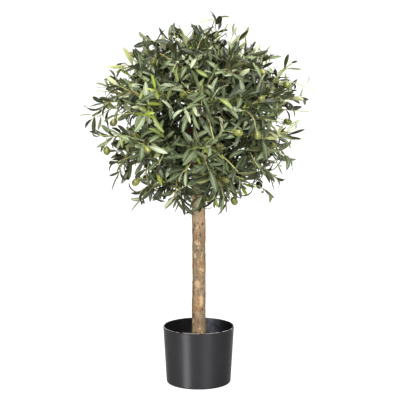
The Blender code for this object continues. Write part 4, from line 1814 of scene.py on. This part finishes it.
@dataclass
class Limbs:
    """The woody limbs: boughs in relief, and the green-stemmed twigs that carry the leaves.

    Attributes:
        limb_mesh: Rings of points along a limb, and points round it.
    """

    rule: CrownRule
    bough_knots: int = 5
    bough_stations: int = 26
    bough_sides: int = 14
    knuckles: float = 0.10
    limb_mesh: Counts = (9, 7)
    leader_mesh: Counts = (6, 6)
    fork_mesh: Counts = (7, 6)
    spray_mesh: Counts = (8, 6)
    stalk_mesh: Counts = (3, 5)

    def build_boughs(self) -> list[Piece]:
        """Makes the boughs with knuckles in place of their solids.

        Formula: a tube along each bough's bend, its radius times 1 + noise along it.
        """
        rule, random = self.rule, np.random.default_rng([SEED, 904])
        shell, nodes = Shell(), []
        for name, bough_height, direction in rule.masses():
            bough = rule.bough(bough_height, direction, rule.bough_straight)
            bend = bough.at(np.linspace(0.0, 1.0, self.bough_knots)[None])[0]
            tip = rule.middle + rule.entry * direction
            path = np.vstack([bend, tip, tip + rule.bough_inside * direction])
            radii = np.append(np.linspace(*rule.bough_r, self.bough_knots), [rule.bough_r[1]] * 2)
            knot = np.arange(len(path))
            station = np.linspace(0, len(path) - 1, self.bough_stations)
            smooth = np.stack([np.interp(station, knot, path[:, axis]) for axis in range(3)], -1)
            noise = self.knuckles * random.uniform(-1, 1, self.bough_stations)
            radius = np.interp(station, knot, radii) * (1 + noise)
            add_tubes(shell, smooth[None], radius[None], self.bough_sides)
            nodes.append(f"bough_{name}")
        return [shell.build("boughs_bark", [BoughBark().material()], 70.0, "bough_bark", nodes)]

    def build_twigs(self, masses: list[Mass], sprays: Shoots, hung: HungOlives) -> list[Piece]:
        """Makes the limbs of the masses as brown wood and their finer shoots and stalks as green wood."""
        brown, green = Shell(), Shell()
        sprays.add_to(green, *self.spray_mesh)
        hung.stalks.add_to(green, *self.stalk_mesh)
        for mass in masses:
            mass.limbs.add_to(brown, *self.limb_mesh)
            mass.leaders.add_to(green, *self.leader_mesh)
            mass.forks.add_to(green, *self.fork_mesh)
            if mass.olives:
                mass.stalks.add_to(green, *self.stalk_mesh)
        finishes = (
            ("twigs_brown", brown, PlainFinish("twig_brown", (112, 102, 66), 0.7, 0.3)),
            ("twigs_green", green, PlainFinish("twig_green", (134, 136, 88), 0.6, 0.35)),
        )
        return [
            shell.build(name, [finish.material()], 50.0, "foliage", foliage_nodes(masses))
            for name, shell, finish in finishes
        ]


@dataclass
class Olives:
    """The olives: smooth egg shapes with a dimple at the stalk and a small point at the end."""

    rule: CrownRule
    columns: int = 22
    rows: int = 15
    blunt: float = 0.9
    taper: float = 0.05
    ends: Span = (-0.97, 1.03)
    ripe_every: int = 4
    ripe_from: int = 2

    def surface(self) -> tuple[Array, list[Array]]:
        """Points and faces of one olive.

        Formula: radius sin(t)^blunt (1 - taper cos(t)) against height -cos(t), as shares of the
        half-width and the half-length, for t from end to end.
        """
        turn = np.linspace(0, math.pi, self.rows)[1:-1]
        radius = np.sin(turn) ** self.blunt * (1 - self.taper * np.cos(turn)) * self.rule.olive_r
        height = -np.cos(turn) * self.rule.olive_half
        low, high = ([[0.0, share * self.rule.olive_half]] for share in self.ends)
        shell = Shell()
        add_turned(shell, np.vstack([low, np.stack([radius, height], -1), high]), self.columns)
        return shell.points[0], shell.faces

    def build(self, masses: list[Mass], hung: HungOlives) -> list[Piece]:
        """Makes the green olives and the ripe black ones as two pieces."""
        points, faces = self.surface()
        inner = [matrix for mass in masses for matrix in mass.olives]
        ripe = [number % self.ripe_every == self.ripe_from for number in range(len(inner))] + hung.ripe
        green, black = Shell(), Shell()
        for matrix, dark in zip(inner + hung.places, ripe):
            (black if dark else green).add(moved(points, matrix), faces)
        skins = (
            ("olives_green", green, OliveSkin("olive_green", (98, 102, 42), (66, 62, 34), (60, 60, 30))),
            ("olives_black", black, OliveSkin("olive_black", (24, 23, 16), (38, 36, 22), (56, 52, 34), 0.2)),
        )
        log.info("%d olives", len(ripe))
        return [
            shell.build(name, [skin.material()], 60.0, "foliage", foliage_nodes(masses))
            for name, shell, skin in skins
        ]


# ---- studio


@dataclass(frozen=True)
class SoftLight:
    """A rectangular soft light that faces the part.

    Attributes:
        azimuth_deg: Direction that it stands in, with -90 at the front.
    """

    name: str
    azimuth_deg: float
    elevation_deg: float
    distance: float
    size: Span
    watts: float


@dataclass(frozen=True)
class Accent:
    """A low, narrow light that draws an upright gleam on the pot."""

    name: str
    azimuth_deg: float
    distance: float
    radius: float
    watts: float


@dataclass(frozen=True)
class WideSun:
    """A far, wide, soft light that falls evenly on the part and the floor.

    Attributes:
        wide_deg: How wide it looks from the part.
        strength: Light on a surface that faces it.
    """

    name: str
    azimuth_deg: float
    elevation_deg: float
    wide_deg: float
    strength: float


@dataclass
class Studio:
    """The pale floor, the soft lights and the camera."""

    floor_size: float = 6000.0
    world: float = 0.12
    target: Point = (0.0, 0.0, 0.45)
    lights: tuple[SoftLight, ...] = (
        SoftLight("left_box", -128, 12, 2.6, (0.70, 1.4), 12.0),
        SoftLight("right_box", -50, 10, 3.0, (0.80, 1.4), 16.0),
        SoftLight("front_box", -88, 22, 3.4, (1.4, 1.6), 142.0),
    )
    accents: tuple[Accent, ...] = (
        Accent("left_accent", -132.5, 2.5, 0.32, 690.0),
        Accent("right_accent", -60, 2.5, 0.55, 400.0),
    )
    accent_height: float = -1.00
    suns: tuple[WideSun, ...] = (
        WideSun("key_sun", -86, 72, 50, 4.9),
        WideSun("fill_sun", -60, 50, 100, 0.6),
        WideSun("back_sun", 84, 20, 90, 3.6),
    )
    sun_distance: float = 6.0
    camera_place: Point = (0.0033, -3.5, 0.98)
    camera_aim: Point = (0.0033, 0.0, 0.4506)
    lens: float = 132.1
    sensor: float = 36.0

    def build(self, glossy: list[Piece]) -> None:
        """Makes the floor, the world, the lights and the camera.

        Args:
            glossy: The pieces that the accents fall on.
        """
        settings = bpy.context.scene.view_settings
        settings.view_transform = "Standard"
        settings.look = "Medium High Contrast"
        self.add_floor()
        self.add_world()
        takers = bpy.data.collections.new("accent_takers")
        for piece in glossy:
            takers.objects.link(piece)
        for light in self.lights:
            self.add_light(light)
        for accent in self.accents:
            self.add_accent(accent, takers)
        for sun in self.suns:
            self.add_sun(sun)
        self.add_camera()

    def add_floor(self) -> None:
        """Adds the floor."""
        half = self.floor_size / 2
        corners = [(-half, -half, 0), (half, -half, 0), (half, half, 0), (-half, half, 0)]
        mesh = bpy.data.meshes.new("floor")
        mesh.from_pydata(corners, [], [(0, 1, 2, 3)])
        mesh.materials.append(FloorPaper().material())
        floor = bpy.data.objects.new("floor", mesh)
        bpy.context.scene.collection.objects.link(floor)

    def add_world(self) -> None:
        """Sets the world: white to the camera, and a weak light from all round to the rest."""
        world = bpy.data.worlds.new("studio")
        world.use_nodes = True
        lit, shown = world.node_tree.nodes["Background"], world.node_tree.nodes.new("ShaderNodeBackground")
        for background, strength in ((lit, self.world), (shown, 1.0)):
            background.inputs["Color"].default_value = WHITE
            background.inputs["Strength"].default_value = strength
        shown_plain(world.node_tree, lit, shown)
        bpy.context.scene.world = world

    def aim(self, light: SoftLight | WideSun, data: bpy.types.Light, distance: float) -> Piece:
        """Stands a light in its direction at a distance from the target, facing it, and returns it."""
        way = Vector(heading(math.radians(light.azimuth_deg), math.radians(light.elevation_deg)))
        lamp = bpy.data.objects.new(light.name, data)
        lamp.location = Vector(self.target) + way * distance
        lamp.rotation_euler = (-way).to_track_quat("-Z", "Y").to_euler()
        bpy.context.scene.collection.objects.link(lamp)
        return lamp

    def add_light(self, light: SoftLight) -> None:
        """Adds a soft box."""
        data = bpy.data.lights.new(light.name, "AREA")
        data.shape = "RECTANGLE"
        data.size, data.size_y = light.size
        data.energy = light.watts
        self.aim(light, data, light.distance).visible_camera = False

    def add_sun(self, sun: WideSun) -> None:
        """Adds a far, wide light."""
        data = bpy.data.lights.new(sun.name, "SUN")
        data.angle = math.radians(sun.wide_deg)
        data.energy = sun.strength
        self.aim(sun, data, self.sun_distance)

    def add_accent(self, accent: Accent, takers: bpy.types.Collection) -> None:
        """Adds a round light that falls on the given pieces alone, from below the level of the floor.

        An upright wall seen from above mirrors what lies below it, so that is where a gleam comes from.
        """
        data = bpy.data.lights.new(accent.name, "POINT")
        data.shadow_soft_size = accent.radius
        data.energy = accent.watts
        lamp = bpy.data.objects.new(accent.name, data)
        lamp.location = ringed(accent.distance, math.radians(accent.azimuth_deg), self.accent_height)
        lamp.visible_camera = False
        lamp.light_linking.receiver_collection = takers
        lamp.light_linking.blocker_collection = takers
        bpy.context.scene.collection.objects.link(lamp)

    def add_camera(self) -> None:
        """Adds the camera."""
        data = bpy.data.cameras.new("camera")
        data.lens = self.lens
        data.sensor_width = self.sensor
        data.sensor_fit = "HORIZONTAL"
        camera = bpy.data.objects.new("camera", data)
        camera.location = self.camera_place
        way = Vector(self.camera_aim) - camera.location
        camera.rotation_euler = way.to_track_quat("-Z", "Y").to_euler()
        bpy.context.scene.collection.objects.link(camera)
        bpy.context.scene.camera = camera


def main() -> None:
    """Builds the part's pieces in order and reports each."""
    pot, stem, rule = Pot(), Stem(), CrownRule()
    pieces = [*pot.build(), *Filling(pot).build(), *stem.build()]
    growth = Growth(rule, stem)
    masses = growth.grow()
    sprays = growth.standing_sprays(masses)
    hung = growth.hang_olives(masses)
    limbs = Limbs(rule)
    pieces += limbs.build_boughs()
    pieces += limbs.build_twigs(masses, sprays, hung)
    olives = [matrix.translation for mass in masses for matrix in mass.olives]
    centres = np.array(olives + [matrix.translation for matrix in hung.places])
    pieces += Leafing(growth, Leaf(), sprays, centres).build(masses)
    pieces += Olives(rule).build(masses, hung)
    for piece in pieces:
        log.info("%s: %d faces", piece.name, len(piece.data.polygons))
    Studio().build(pieces[:1])


if __name__ == "__main__":
    logging.basicConfig(level=logging.INFO, format="%(name)s: %(message)s")
    main()
